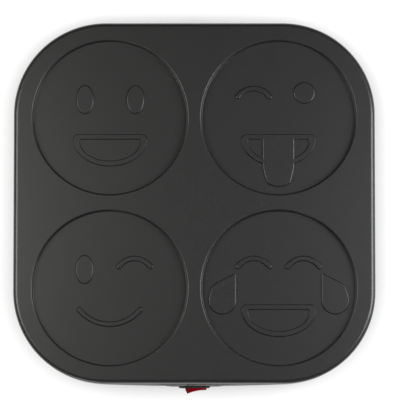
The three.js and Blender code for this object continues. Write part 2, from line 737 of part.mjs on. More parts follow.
function makeTerminalBlock() {
  const half = terminals.depth / 2;
  const top = blockFoot + terminals.height;
  const ports = blockPorts.map((x) => rodAlongY(x, portZ, terminals.bore, 0, depth, 8));
  const halfWidth = terminals.width / 2;
  const rise = terminals.towerRise;
  const towers = blockPorts.map((x) => post(x, blockY, terminals.tower, top - rise, top + rise, 8));
  return cut(
    join(block(-halfWidth, halfWidth, blockY - half, blockY + half, blockFoot, top), ...towers),
    ...ports,
    post(terminals.step / 2, blockY, smallScrew.hole, 0, top - rise, 8),
  );
}

// Earth tag under the rear lug, held by the plate screw there
function makeEarthTag() {
  const top = lugFoot - seatGap;
  const w = earth.width / 2;
  const tag = block(-w, w, bossY - w, bossY + earth.length - w, top - earth.thickness, top);
  return cut(tag, post(0, bossY, housing.lugHole, 0, height, 8));
}

// Switch: distances are measured outwards from the pad's face
const out = (distance) => -padFace - distance;
const pivotY = out(-rocker.pivotDepth);
const leverY = pivotY + plunger.reach + seatGap + lever.thickness;
const caseHalfX = caseSize.cutWidth / 2 - seatGap;
const caseHalfZ = caseSize.cutHeight / 2 - seatGap;
const caseFloor = out(caseSize.floor - caseSize.depth);
const bladeEnd = out(-caseSize.depth) + blade.length;
const restTilt = THREE.MathUtils.degToRad(rocker.travel / 2);
const leverTilt = THREE.MathUtils.degToRad(lever.tilt);

function bladeSlot(x) {
  const halfX = blade.thickness / 2 + seatGap;
  const halfZ = blade.width / 2 + seatGap;
  const [low, high] = [switchHeight - halfZ, switchHeight + halfZ];
  return block(x - halfX, x + halfX, caseFloor - overrun, bladeEnd, low, high);
}

function makeCase() {
  const slope = caseSize.bezelSlope;
  const face = roundedRectangle(caseSize.bezelWidth - 2 * slope, caseSize.bezelHeight - 2 * slope, slope);
  const bezel = new THREE.ExtrudeGeometry(face, {
    depth: caseSize.bezelStand,
    bevelThickness: slope,
    bevelSize: slope,
    bevelSegments: 2,
    curveSegments: 2,
  }).rotateX(Math.PI / 2).translate(0, out(caseSize.bezelStand - slope) + caseSize.bezelStand, switchHeight);
  const frame = cut(solidOf(bezel), block(-width, width, out(seatGap), depth, 0, height));
  const low = switchHeight - caseHalfZ;
  const high = switchHeight + caseHalfZ;
  const box = block(-caseHalfX, caseHalfX, out(caseSize.bezelStand / 2), out(-caseSize.depth), low, high);
  const wall = caseSize.wall;
  return cut(
    join(frame, box),
    block(-caseHalfX + wall, caseHalfX - wall, out(overrun), caseFloor, low + wall, high - wall),
    post(0, pivotY, rocker.axleRadius + seatGap, low - overrun, high + overrun),
    bladeSlot(-blade.spread),
    bladeSlot(0),
    bladeSlot(blade.spread),
  );
}

// The rocker about its pivot at the origin, its face towards the front, not yet tilted
function makeRocker() {
  const { halfLength, reach, dish, baseHalfLength, base, footHalfLength, wall, hub, hubWall } = rocker;
  const skirt = rocker.foot;
  const half = rocker.height / 2;
  const shell = new THREE.Shape();
  shell.moveTo(-halfLength, -reach);
  shell.quadraticCurveTo(0, -reach + 2 * dish, halfLength, -reach);
  shell.lineTo(baseHalfLength, -base);
  shell.lineTo(footHalfLength, -skirt);
  shell.lineTo(-footHalfLength, -skirt);
  shell.lineTo(-baseHalfLength, -base);
  const ceiling = -reach + dish + wall;
  const hollow = new THREE.Shape();
  hollow.moveTo(-halfLength + wall, ceiling);
  hollow.lineTo(halfLength - wall, ceiling);
  hollow.lineTo(baseHalfLength - wall, -base);
  hollow.lineTo(footHalfLength - wall, -skirt + overrun);
  hollow.lineTo(-footHalfLength + wall, -skirt + overrun);
  hollow.lineTo(-baseHalfLength + wall, -base);
  const springTop = plunger.reach - plunger.length - seatGap - spring.room;
  const body = cut(prism(shell, -half, half, 4), prism(hollow, -half + hubWall, half - hubWall));
  const cheeks = [-1, 1].flatMap((side) => {
    const [z0, z1] = [side * (half - hubWall), side * half].sort((m, n) => m - n);
    const [a0, a1] = [side * (half - hubWall), side * (half + rocker.axleLength)].sort((m, n) => m - n);
    return [
      block(-hub, hub, -skirt - wall, 0, z0, z1),
      post(0, 0, hub, z0, z1),
      post(0, 0, rocker.axleRadius, a0, a1),
    ];
  });
  const stem = rodAlongY(0, 0, rocker.stemRadius, ceiling - wall / 2, rocker.stemDrop, 12);
  const bore = rodAlongY(0, 0, plunger.radius + seatGap, springTop - seatGap, overrun * 2, 12);
  return cut(join(body, stem, ...cheeks), bore);
}

function makePlunger() {
  const { radius, reach, length } = plunger;
  const profile = [
    new THREE.Vector2(0, reach - length),
    new THREE.Vector2(radius, reach - length),
    ...arcPoints(0, reach - radius, radius, 0, Math.PI / 2, 2).slice(0, -1),
    new THREE.Vector2(0, reach),
  ];
  return solidOf(new THREE.LatheGeometry(profile, 10));
}

class Helix extends THREE.Curve {
  getPoint(t, target = new THREE.Vector3()) {
    const low = plunger.reach - plunger.length - seatGap - spring.wire;
    const high = low - spring.room + 2 * spring.wire;
    const angle = 2 * Math.PI * spring.turns * t;
    return target.set(spring.coil * Math.cos(angle), low + (high - low) * t, spring.coil * Math.sin(angle));
  }
}

function makeLever() {
  const w = lever.width / 2;
  const studX = lever.halfLength - lever.studInset;
  const stud = rodAlongY(studX, 0, lever.stud, -lever.thickness / 2, lever.studRise, 8);
  return block(-lever.halfLength, lever.halfLength, -lever.thickness, 0, -w, w).add(stud);
}

// A flat blade through the case floor; a head on its inner end meets the lever
function makeBlade(x, inner, headReach = 0) {
  const t = blade.thickness / 2;
  const z0 = switchHeight - blade.width / 2;
  const z1 = switchHeight + blade.width / 2;
  const solid = block(x - t, x + t, inner, bladeEnd, z0, z1);
  if (headReach === 0) return solid;
  const [x0, x1] = [x - Math.sign(x) * headReach, x].sort((m, n) => m - n);
  return solid.add(block(x0, x1, inner, caseFloor - seatGap, z0, z1));
}

function makeLead(points) {
  const curve = new THREE.CatmullRomCurve3(points.map(([x, y, z]) => new THREE.Vector3(x, y, z)));
  return tube(curve, lead.radius, lead.sides, lead.steps);
}

// Routes of the inner leads, from end to end
const bladeTip = bladeEnd + seatGap;
const portY = blockY - terminals.depth / 2 - seatGap;
const tabZ = wellUnderside - thermostat.capHeight - thermostat.bodyHeight + blade.thickness / 2;
const tabRear = sensorY + thermostat.bladeReach + seatGap;
const tabFront = sensorY - thermostat.bladeReach - seatGap;
const fuseEnd = fuse.length / 2 + fuse.wireReach + seatGap;
const pinEnd = elementEnd + pin.length + 2 * seatGap;
const passZ = wellUnderside - lead.duck;
const tagSide = earth.width / 2 + seatGap;
const tagLow = lugFoot - lead.radius - 2 * seatGap;

// A lead's way points: shares of the half width and half depth inside the walls, then a rise
// above the cover or, where it is negative, a drop below the wells.
function between(points) {
  return points.map(([xShare, yShare, rise]) => [
    xShare * sideInside, yShare * wallInside, rise + (rise < 0 ? wellUnderside : coverTop),
  ]);
}

const leadRoutes = {
  lead_line: [
    [terminals.step, portY, portZ],
    [terminals.step, portY - lead.straight, portZ],
    ...between([
      [0.154, 0.626, 5.5], [0.754, 0.36, 4.5], [0.814, -0.171, 5.5], [0.617, -0.651, 8.5],
      [0.137, -0.728, -36.3], [0.009, -0.754, -30.3],
    ]),
    [0, bladeTip + lead.straight, switchHeight],
    [0, bladeTip, switchHeight],
  ],
  lead_switched: [
    [blade.spread, bladeTip, switchHeight],
    [blade.spread, bladeTip + lead.straight, switchHeight],
    ...between([
      [0.034, -0.737, -20.8], [-0.343, -0.694, -23.3], [-0.788, -0.428, -29.3], [-0.797, 0.171, -29.3],
      [-0.72, 0.617, -24.3],
    ]),
    [-wellX, shieldY + lead.slack, passZ - lead.slack],
    [thermostatX - 2 * lead.slack, shieldY + lead.slack, passZ],
    [thermostatX - lead.slack, elementY + lead.straight, passZ],
    [thermostatX, tabRear + lead.straight, tabZ],
    [thermostatX, tabRear, tabZ],
  ],
  lead_thermostat: [
    [thermostatX, tabFront, tabZ],
    [thermostatX, tabFront - lead.straight, tabZ],
    [thermostatX + lead.slack, tabFront - lead.slack, passZ],
    [0, tabFront - lead.slack, passZ],
    [fuseX - lead.slack, sensorY - fuseEnd - lead.slack, passZ + lead.radius],
    [fuseX, sensorY - fuseEnd - lead.straight, fuseHeight],
    [fuseX, sensorY - fuseEnd, fuseHeight],
  ],
  lead_fuse: [
    [fuseX, sensorY + fuseEnd, fuseHeight],
    [fuseX, sensorY + fuseEnd + lead.straight, fuseHeight - lead.radius],
    [fuseX, elementY - lead.straight, passZ],
    [fuseX - lead.slack, elementY + 2 * lead.slack, passZ],
    [element.endOffset + lead.slack, pinEnd + lead.straight, elementHeight - lead.straight],
    [element.endOffset + lead.straight, pinEnd + lead.slack, elementHeight],
    [element.endOffset, pinEnd + lead.straight, elementHeight],
    [element.endOffset, pinEnd, elementHeight],
  ],
  lead_neutral: [
    [terminals.pair - terminals.step, portY, portZ],
    [terminals.pair - terminals.step, portY - lead.straight, portZ],
    ...between([[-0.189, 0.643, 13.5], [-0.343, 0.771, -28.3], [-0.257, 0.84, -13.3]]),
    [-element.endOffset - lead.slack, pinEnd + lead.slack, elementHeight],
    [-element.endOffset, pinEnd + lead.straight, elementHeight],
    [-element.endOffset, pinEnd, elementHeight],
  ],
  lead_lamp: [
    [-blade.spread, bladeTip, switchHeight],
    [-blade.spread, bladeTip + lead.straight, switchHeight],
    ...between([
      [-0.12, -0.746, -28.3], [-0.428, -0.668, -34.3], [-0.754, -0.411, 14.5], [-0.754, 0.171, 13.5],
      [-0.514, 0.566, 6.5], [-0.223, 0.626, 4],
    ]),
    [-terminals.pair - terminals.step, portY - lead.straight, portZ],
    [-terminals.pair - terminals.step, portY, portZ],
  ],
  lead_earth: [
    [0, portY, portZ],
    [0, portY - lead.straight, portZ],
    ...between([[0.103, 0.643, 14.5], [0.214, 0.797, -26.3], [0.171, 0.925, -16.3]]),
    [tagSide + lead.straight, bossY + earth.width, tagLow],
    [tagSide, bossY + earth.width, tagLow],
  ],
};

function finish(color, roughness, metalness = 0) {
  return new THREE.MeshStandardMaterial({ color, roughness, metalness });
}

const castBlack = finish(0x343434, 0.55, 0.2);
const darkPlastic = finish(0x4a4b4a, 0.5);
const blackPlastic = finish(0x1d1e1c, 0.45);
const redPlastic = finish(0x9c0c12, 0.25);
const rubber = finish(0x1c1c1c, 0.9);
const steel = finish(0xb4b6b8, 0.35, 1);
const brass = finish(0xc9a55a, 0.35, 1);
const ceramic = finish(0xe8e4d8, 0.7);
const whitePlastic = finish(0xdedcd2, 0.5);
const glass = finish(0xe8a070, 0.1);

// The frame's origin is below the middle of the whole, rocker tip and gland included.
const tipReach = -pivotY + rocker.reach * Math.cos(restTilt) + rocker.halfLength * Math.sin(restTilt);
const rearReach = wallOutside + seatGap + gland.flangeThickness;

const group = new THREE.Group();
const appliance = new THREE.Group();
appliance.position.y = (tipReach - rearReach) / 2;
group.add(appliance);

function place(name, solid, material, parent = appliance) {
  const mesh = new THREE.Mesh(geometryOf(solid), material);
  mesh.name = name;
  parent.add(mesh);
}

place('griddle_plate', makePlate(), castBlack);
place('housing_shell', makeHousing(), darkPlastic);
place('base_cover', makeCover(), darkPlastic);
['front_left', 'rear_left', 'front_right', 'rear_right'].forEach((name, i) => {
  place(`foot_${name}`, makeFoot(footPlaces[i]), rubber);
  const [x, y] = columnPlaces[i];
  place(`base_screw_${name}`, makeScrew(screw, x, y, coverFoot, screw.coverBite), steel);
});
['right', 'rear', 'left', 'front'].forEach((name, i) => {
  const [x, y] = bossPlaces[i];
  const seat = name === 'rear' ? lugFoot - seatGap - earth.thickness : lugFoot;
  place(`plate_screw_${name}`, makeScrew(screw, x, y, seat, lugTop - seat + screw.bite), steel);
});

place('heating_element', makeElement(), steel);
[['left', -1], ['right', 1]].forEach(([name, side]) => {
  place(`element_bead_${name}`, makeBead(side), ceramic);
  place(`element_pin_${name}`, makePin(side), steel);
});
['left', 'right', 'front'].forEach((name, i) => {
  const [x, y] = clampBosses[i];
  const seat = clampBossFoot - seatGap - clamp.thickness;
  place(`element_clamp_${name}`, makeClamp(clampPlaces[i]), steel);
  place(`clamp_screw_${name}`, makeScrew(smallScrew, x, y, seat, smallScrew.bite), steel);
});
place('thermostat', makeThermostat(), steel);
place('thermostat_bracket', makeBracket(), steel);
place('thermal_fuse', makeFuse(), whitePlastic);
place('fuse_clip', makeFuseClip(), steel);
const bracketSeat = wellUnderside - bracket.bossDrop - 2 * seatGap;
const blindEnd = wellUnderside - seatGap;
bracketBosses.forEach(([x, y], i) => {
  const seat = bracketSeat - bracket.thickness;
  place(`bracket_screw_${i + 1}`, makeScrew(smallScrew, x, y, seat, blindEnd - seat), steel);
});
const clipSeat = bracketSeat + seatGap - fuse.clipThickness;
place('fuse_clip_screw', makeScrew(smallScrew, ...fuseBoss, clipSeat, blindEnd - clipSeat), steel);
place('heat_shield', makeShield(), steel);
place('shield_screw', makeScrew(screw, 0, 0, shieldTop - shield.sheet, screw.bite), steel);

place('cord_gland', makeGland(), blackPlastic);
place('gland_nut', makeGlandNut(), blackPlastic);
place('terminal_block', makeTerminalBlock(), whitePlastic);
const blockScrewX = terminals.step / 2;
place('terminal_block_screw', makeScrew(smallScrew, blockScrewX, blockY, coverFoot, smallScrew.bite), steel);
place('earth_tag', makeEarthTag(), brass);
Object.entries(leadRoutes).forEach(([name, points]) => place(name, makeLead(points), whitePlastic));

place('switch_body', makeCase(), blackPlastic);
place('switch_terminal_line', makeBlade(0, leverY + seatGap), brass);
const contactReach = lever.halfLength - lever.studInset + lever.stud;
const contactY = leverY + contactReach * Math.sin(leverTilt) + lever.studRise + seatGap;
place('switch_terminal_load', makeBlade(blade.spread, contactY, 2 * lever.stud), brass);
const stopY = leverY + lever.halfLength * Math.sin(leverTilt) + seatGap;
place('switch_terminal_lamp', makeBlade(-blade.spread, stopY, 2 * lever.stud), brass);

// The rocker and what rides in it, tilted as the switch stands in its off state
const rockerGroup = new THREE.Group();
rockerGroup.position.set(0, pivotY, switchHeight);
rockerGroup.rotation.z = restTilt;
appliance.add(rockerGroup);
place('switch_rocker', makeRocker(), redPlastic, rockerGroup);
place('switch_plunger', makePlunger(), steel, rockerGroup);
const coilSteps = spring.turns * spring.stepsPerTurn;
place('switch_spring', tube(new Helix(), spring.wire, spring.sides, coilSteps), steel, rockerGroup);
const lampHalf = lamp.length / 2;
const lampBody = post(lamp.offset, -lamp.reach, lamp.radius, -lampHalf, lampHalf, 8);
place('indicator_lamp', lampBody, glass, rockerGroup);

const leverGroup = new THREE.Group();
leverGroup.position.set(0, leverY, switchHeight);
leverGroup.rotation.z = -leverTilt;
appliance.add(leverGroup);
place('switch_contact_lever', makeLever(), brass, leverGroup);

export default group;
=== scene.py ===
import math

import bmesh
import bpy
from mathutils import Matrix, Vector


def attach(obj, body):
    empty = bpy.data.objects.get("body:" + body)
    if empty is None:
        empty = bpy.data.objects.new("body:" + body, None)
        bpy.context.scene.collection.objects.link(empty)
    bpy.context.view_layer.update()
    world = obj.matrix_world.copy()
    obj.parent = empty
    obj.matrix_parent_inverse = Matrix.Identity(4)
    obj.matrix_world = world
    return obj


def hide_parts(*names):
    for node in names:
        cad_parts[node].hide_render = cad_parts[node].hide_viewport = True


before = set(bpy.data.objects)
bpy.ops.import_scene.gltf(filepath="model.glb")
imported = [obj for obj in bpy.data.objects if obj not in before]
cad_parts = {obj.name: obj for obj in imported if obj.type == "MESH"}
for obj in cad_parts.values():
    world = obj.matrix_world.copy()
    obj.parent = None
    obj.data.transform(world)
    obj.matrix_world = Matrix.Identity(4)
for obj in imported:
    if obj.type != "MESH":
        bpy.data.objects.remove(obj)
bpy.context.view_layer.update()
print("frame loaded:", len(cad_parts), "nodes")

mm = 0.001
mergeWithin = 0.001 * mm
matchWithin = 0.02 * mm
sharpAngle = 0.6            # radians: an edge that bends more counts as sharp
smoothAngle = math.radians(35)
overrun = 4 * mm            # cutters reach this far past what they cut

appliance = {
    "middle": 2.39 * mm,        # the plate's middle lies this far behind the origin
    "width": 240 * mm,
    "depth": 240 * mm,
    "cornerRadius": 61 * mm,
    "plateTop": 70 * mm,
    "plateFoot": 58 * mm,
    "gap": 0.3 * mm,            # between pieces that don't touch
}
middle = appliance["middle"]
plateTop = appliance["plateTop"]
gap = appliance["gap"]


# small tools used for every piece

def deselect():
    if bpy.context.object and bpy.context.object.mode != "OBJECT":
        bpy.ops.object.mode_set(mode="OBJECT")
    bpy.ops.object.select_all(action="DESELECT")


def focus(ob):
    deselect()
    ob.select_set(True)
    bpy.context.view_layer.objects.active = ob
    return ob


def startEdit(ob):
    focus(ob)
    bpy.ops.object.mode_set(mode="EDIT")
    bpy.ops.mesh.select_mode(type="VERT")
    bpy.ops.mesh.select_all(action="DESELECT")


def endEdit():
    bpy.ops.object.mode_set(mode="OBJECT")


def pickAll():
    bpy.ops.mesh.select_all(action="SELECT")


def editWhole(ob):
    startEdit(ob)
    pickAll()


# selects the vertices, edges or faces of the mesh in edit mode that pass the test
def pick(kind, test):
    bpy.ops.mesh.select_mode(type={"verts": "VERT", "edges": "EDGE", "faces": "FACE"}[kind])
    bpy.ops.mesh.select_all(action="DESELECT")
    mesh = bmesh.from_edit_mesh(bpy.context.object.data)
    for part in getattr(mesh, kind):
        if test(part):
            part.select_set(True)
    mesh.select_flush_mode()
    bmesh.update_edit_mesh(bpy.context.object.data)


def near(value, goal):
    return abs(value - goal) < matchWithin


def centreOf(edge):
    return (edge.verts[0].co + edge.verts[1].co) / 2


# true for an edge that runs along the axis: 0, 1 and 2 are X, Y and Z
def edgeAlong(edge, axis):
    way = edge.verts[1].co - edge.verts[0].co
    return way.length > 0 and abs(way[axis]) > 0.999 * way.length


# the faces that look along the axis, forwards (way 1) or backwards (way -1)
def pickFacing(axis, way):
    pick("faces", lambda f: f.normal[axis] * way > 0.9)


# true for a sharp edge that lies in the plane at that height
def rimOf(edge, axis, height):
    level = all(near(v.co[axis], height) for v in edge.verts)
    return level and len(edge.link_faces) == 2 and edge.calc_face_angle(0) > sharpAngle


def extrude(move):
    bpy.ops.mesh.extrude_region_move(TRANSFORM_OT_translate={"value": move})


def scaleAbout(shares, centre):
    bpy.ops.transform.resize(value=shares, center_override=centre)


def settle(ob):
    focus(ob)
    bpy.ops.object.transform_apply(location=True, rotation=True, scale=True)
    return ob


# a cube between two corners
def box(name, low, high):
    low, high = Vector(low), Vector(high)
    deselect()
    bpy.ops.mesh.primitive_cube_add(size=1, location=(low + high) / 2)
    ob = bpy.context.object
    ob.name = name
    ob.scale = high - low
    return settle(ob)


def disc(name, x, y, z, radius, count):
    deselect()
    bpy.ops.mesh.primitive_circle_add(vertices=count, radius=radius, fill_type="NGON", location=(x, y, z))
    ob = bpy.context.object
    ob.name = name
    return settle(ob)


# a disc extruded and scaled along a profile of (radius, height) pairs, as on a lathe
def turned(name, x, y, profile, count):
    radius, height = profile[0]
    ob = disc(name, x, y, height, radius, count)
    editWhole(ob)
    for nextRadius, nextHeight in profile[1:]:
        extrude((0, 0, nextHeight - height))
        share = nextRadius / radius
        scaleAbout((share, share, 1), (x, y, nextHeight))
        radius, height = nextRadius, nextHeight
    endEdit()
    return outward(ob)


# a plain round rod that stands between two heights
def upright(name, x, y, radius, low, high, count=32):
    return turned(name, x, y, [(radius, low), (radius, high)], count)


# doubles merged and every face turned outwards
def outward(ob):
    editWhole(ob)
    bpy.ops.mesh.remove_doubles(threshold=mergeWithin)
    bpy.ops.mesh.normals_make_consistent(inside=False)
    endEdit()
    return ob


# points of an arc, from one angle in quarter turns to another
def roundArc(x, z, radius, start, end, steps):
    angles = [(start + (end - start) * i / steps) * math.pi / 2 for i in range(steps + 1)]
    return [(x + radius * math.cos(a), z + radius * math.sin(a)) for a in angles]


def applied(ob, kind, **settings):
    focus(ob)
    modifier = ob.modifiers.new(kind.lower(), kind)
    for key, value in settings.items():
        setattr(modifier, key, value)
    bpy.ops.object.modifier_apply(modifier=modifier.name)
    return ob


# the others are used up
def combine(ob, operation, others):
    for other in others:
        applied(ob, "BOOLEAN", operation=operation, object=other, solver="MANIFOLD")
        bpy.data.objects.remove(other)
    return ob


def weld(ob, *others):
    return combine(ob, "UNION", others)


def cutAway(ob, *others):
    return combine(ob, "DIFFERENCE", others)


def bevelPicked(width, segments):
    bpy.ops.mesh.bevel(offset=width, offset_type="OFFSET", segments=segments, profile=0.5,
                       affect="EDGES", clamp_overlap=True)


# rounds the sharp edges that lie in a plane
def roundRim(ob, axis, height, width, segments):
    startEdit(ob)
    pick("edges", lambda e: rimOf(e, axis, height))
    bevelPicked(width, segments)
    endEdit()


# a cube whose four edges along one axis are rounded
def roundedBlock(name, low, high, radius, segments, axis=2):
    ob = box(name, low, high)
    startEdit(ob)
    pick("edges", lambda e: edgeAlong(e, axis))
    bevelPicked(radius, segments)
    endEdit()
    return ob


# doubles merged and shaded smooth up to an angle, with large faces kept flat
def smoothed(ob):
    editWhole(ob)
    bpy.ops.mesh.remove_doubles(threshold=mergeWithin)
    endEdit()
    focus(ob)
    bpy.ops.object.shade_smooth_by_angle(angle=smoothAngle)
    return applied(ob, "WEIGHTED_NORMAL", keep_sharp=True)


# a copy with its own mesh, moved
def copied(ob, name, x=0, y=0):
    focus(ob)
    bpy.ops.object.duplicate()
    copy = bpy.context.object
    copy.name = name
    copy.location = (x, y, 0)
    return settle(copy)


# names a finished piece, puts its finish on and lets it stand for its CAD nodes
def fitted(ob, name, body, nodes, finish):
    ob.name = name
    ob.data.name = name
    ob.data.materials.clear()
    ob.data.materials.append(materials[finish])
    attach(ob, body)
    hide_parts(*nodes)
    print(name, "made:", len(ob.data.polygons), "faces")


# finishes: colours are linear; sizes of grain, clouds and stripes and depths of relief in millimetres

finishes = {
    "castNonstick": {
        "colour": (0.0135, 0.0136, 0.0131), "second": (0.0175, 0.0175, 0.0171), "cloud": 9,
        "roughness": (0.33, 0.42), "grain": 0.9, "depth": 0.004,
        "coat": 0.3, "coatRoughness": 0.18,
    },
    "housingPlastic": {
        "colour": (0.028, 0.029, 0.027), "second": (0.033, 0.033, 0.031), "cloud": 14,
        "roughness": (0.46, 0.58), "grain": 0.55, "depth": 0.02, "specular": 0.4,
    },
    "coverPlastic": {
        "colour": (0.030, 0.030, 0.030), "second": (0.036, 0.036, 0.035), "cloud": 11,
        "roughness": (0.52, 0.66), "grain": 0.7, "depth": 0.03,
    },
    "footRubber": {
        "colour": (0.013, 0.013, 0.013), "second": (0.020, 0.020, 0.019), "cloud": 5,
        "roughness": (0.72, 0.88), "grain": 0.4, "depth": 0.03, "specular": 0.35,
    },
    "blackPlastic": {
        "colour": (0.012, 0.012, 0.012), "second": (0.016, 0.016, 0.016), "cloud": 6,
        "roughness": (0.20, 0.30), "grain": 0.5, "depth": 0.004,
    },
    "redPlastic": {
        "colour": (0.44, 0.003, 0.008), "second": (0.38, 0.002, 0.006), "cloud": 7,
        "roughness": (0.09, 0.15), "grain": 0.8, "depth": 0.002, "coat": 0.6,
    },
    "lampGlass": {
        "colour": (0.90, 0.62, 0.42), "second": (0.95, 0.70, 0.50), "cloud": 3,
        "roughness": (0.03, 0.08), "grain": 0.6, "depth": 0.001, "transmission": 0.7,
    },
    "leadSleeve": {
        "colour": (0.62, 0.59, 0.52), "second": (0.74, 0.72, 0.66), "cloud": 1.1,
        "roughness": (0.62, 0.80), "grain": 0.5, "depth": 0.05, "specular": 0.4,
    },
    "earthSleeve": {
        "colour": (0.55, 0.50, 0.02), "second": (0.02, 0.20, 0.03), "stripes": 6,
        "roughness": (0.34, 0.44), "grain": 0.6, "depth": 0.005,
    },
    "terminalPlastic": {
        "colour": (0.66, 0.65, 0.60), "second": (0.72, 0.71, 0.67), "cloud": 6,
        "roughness": (0.36, 0.46), "grain": 0.6, "depth": 0.006,
    },
    "fuseSleeve": {
        "colour": (0.60, 0.56, 0.46), "second": (0.72, 0.69, 0.60), "cloud": 1.4,
        "roughness": (0.60, 0.75), "grain": 0.5, "depth": 0.04, "specular": 0.4,
    },
    "beadCeramic": {
        "colour": (0.74, 0.71, 0.63), "second": (0.80, 0.78, 0.71), "cloud": 2.5,
        "roughness": (0.55, 0.70), "grain": 0.35, "depth": 0.01, "specular": 0.45,
    },
    "contactBrass": {
        "colour": (0.72, 0.50, 0.20), "second": (0.60, 0.38, 0.14), "cloud": 4,
        "roughness": (0.26, 0.40), "grain": 0.3, "depth": 0.003, "metallic": 1, "stretch": (1, 14, 1),
    },
    "elementSteel": {
        "colour": (0.25, 0.23, 0.21), "second": (0.33, 0.26, 0.20), "cloud": 26,
        "roughness": (0.36, 0.50), "grain": 0.4, "depth": 0.004, "metallic": 1,
    },
    "shieldSteel": {
        "colour": (0.60, 0.60, 0.61), "second": (0.68, 0.68, 0.68), "cloud": 12,
        "roughness": (0.20, 0.34), "grain": 0.5, "depth": 0.004, "metallic": 1, "stretch": (0.06, 1, 1),
    },
    "capMetal": {
        "colour": (0.64, 0.64, 0.65), "second": (0.56, 0.56, 0.57), "cloud": 3,
        "roughness": (0.24, 0.36), "grain": 0.3, "depth": 0.003, "metallic": 1,
    },
    "screwSteel": {
        "colour": (0.52, 0.52, 0.53), "second": (0.60, 0.59, 0.56), "cloud": 2,
        "roughness": (0.24, 0.38), "grain": 0.25, "depth": 0.004, "metallic": 1,
    },
    "springSteel": {
        "colour": (0.50, 0.50, 0.51), "second": (0.58, 0.58, 0.58), "cloud": 1.5,
        "roughness": (0.22, 0.32), "grain": 0.2, "depth": 0.002, "metallic": 1,
    },
    "bracketSteel": {
        "colour": (0.54, 0.54, 0.55), "second": (0.62, 0.62, 0.60), "cloud": 5,
        "roughness": (0.28, 0.42), "grain": 0.35, "depth": 0.004, "metallic": 1, "stretch": (1, 0.1, 1),
    },
}


patterns = {
    "grainDetail": 3, "grainSpan": (0.3, 0.7),      # the span of the noise that the gloss follows
    "cloudDetail": 4, "stripeShare": 0.3,           # a wave texture's bands are wider than its scale says
}


def treeOf(owner):
    owner.use_nodes = True
    return owner.node_tree.nodes, owner.node_tree.links


def fill(node, values):
    for name, value in values.items():
        node.inputs[name].default_value = value


def mathOf(nodes, links, operation, first, second):
    node = nodes.new("ShaderNodeMath")
    node.operation = operation
    links.new(first, node.inputs[0])
    links.new(second, node.inputs[1])
    return node.outputs["Value"]


# a Principled finish with a cloudy colour, a grain in the gloss and a fine relief
def surface(name, look):
    material = bpy.data.materials.new(name)
    nodes, links = treeOf(material)
    shader = nodes["Principled BSDF"]
    fill(shader, {
        "Metallic": look.get("metallic", 0),
        "Specular IOR Level": look.get("specular", 0.5),
        "Coat Weight": look.get("coat", 0),
        "Coat Roughness": look.get("coatRoughness", 0.03),
        "Transmission Weight": look.get("transmission", 0),
    })
    where = nodes.new("ShaderNodeTexCoord")
    spread = nodes.new("ShaderNodeMapping")
    fill(spread, {"Scale": look.get("stretch", (1, 1, 1))})
    links.new(where.outputs["Object"], spread.inputs["Vector"])

    grain = nodes.new("ShaderNodeTexNoise")
    fill(grain, {"Scale": 1 / (look["grain"] * mm), "Detail": patterns["grainDetail"]})
    links.new(spread.outputs["Vector"], grain.inputs["Vector"])
    gloss = nodes.new("ShaderNodeMapRange")
    (start, end), (glossy, dull) = patterns["grainSpan"], look["roughness"]
    fill(gloss, {"From Min": start, "From Max": end, "To Min": glossy, "To Max": dull})
    links.new(grain.outputs["Fac"], gloss.inputs["Value"])
    links.new(gloss.outputs["Result"], shader.inputs["Roughness"])
    relief = nodes.new("ShaderNodeBump")
    fill(relief, {"Distance": look["depth"] * mm})
    links.new(grain.outputs["Fac"], relief.inputs["Height"])
    links.new(relief.outputs["Normal"], shader.inputs["Normal"])

    tint = nodes.new("ShaderNodeMix")
    tint.data_type = "RGBA"
    fill(tint, {"A": (*look["colour"], 1), "B": (*look["second"], 1)})
    if "stripes" in look:
        cloud = nodes.new("ShaderNodeTexWave")
        cloud.bands_direction = "DIAGONAL"
        fill(cloud, {"Scale": patterns["stripeShare"] / (look["stripes"] * mm)})
    else:
        cloud = nodes.new("ShaderNodeTexNoise")
        fill(cloud, {"Scale": 1 / (look["cloud"] * mm), "Detail": patterns["cloudDetail"]})
    links.new(spread.outputs["Vector"], cloud.inputs["Vector"])
    links.new(cloud.outputs["Fac"], tint.inputs["Factor"])
    links.new(tint.outputs["Result"], shader.inputs["Base Color"])
    return material


materials = {name: surface(name, look) for name, look in finishes.items()}
print("finishes made:", len(materials))


# camera: nearly overhead, from the front, as far away as the picture's perspective asks

cameraPlace = {
    "elevation": 85.6,          # degrees above the horizon
    "roll": 0,
    "distance": 2.1,            # metres from the plate's top
    "aimX": 3.76 * mm,
    "aimY": -1.05 * mm,
    "scale": 1508.7,            # pixels to a metre at the plate's top
    "imageHeight": 408,         # pixels
    "clipStart": 0.05,          # metres
}

deselect()
up = math.radians(cameraPlace["elevation"])
bpy.ops.object.camera_add()
camera = bpy.context.object
camera.name = "photoCamera"
camera.location = (
    cameraPlace["aimX"],
    middle + cameraPlace["aimY"] - cameraPlace["distance"] * math.cos(up),
    plateTop + cameraPlace["distance"] * math.sin(up),
)
camera.rotation_euler = (math.pi / 2 - up, 0, math.radians(cameraPlace["roll"]))
camera.data.lens = (camera.data.sensor_width * cameraPlace["scale"] * cameraPlace["distance"]
                    / cameraPlace["imageHeight"])
camera.data.clip_start = cameraPlace["clipStart"]
bpy.context.scene.camera = camera


# studio: pale floor, soft lamps on both sides and low in front, nothing bright overhead

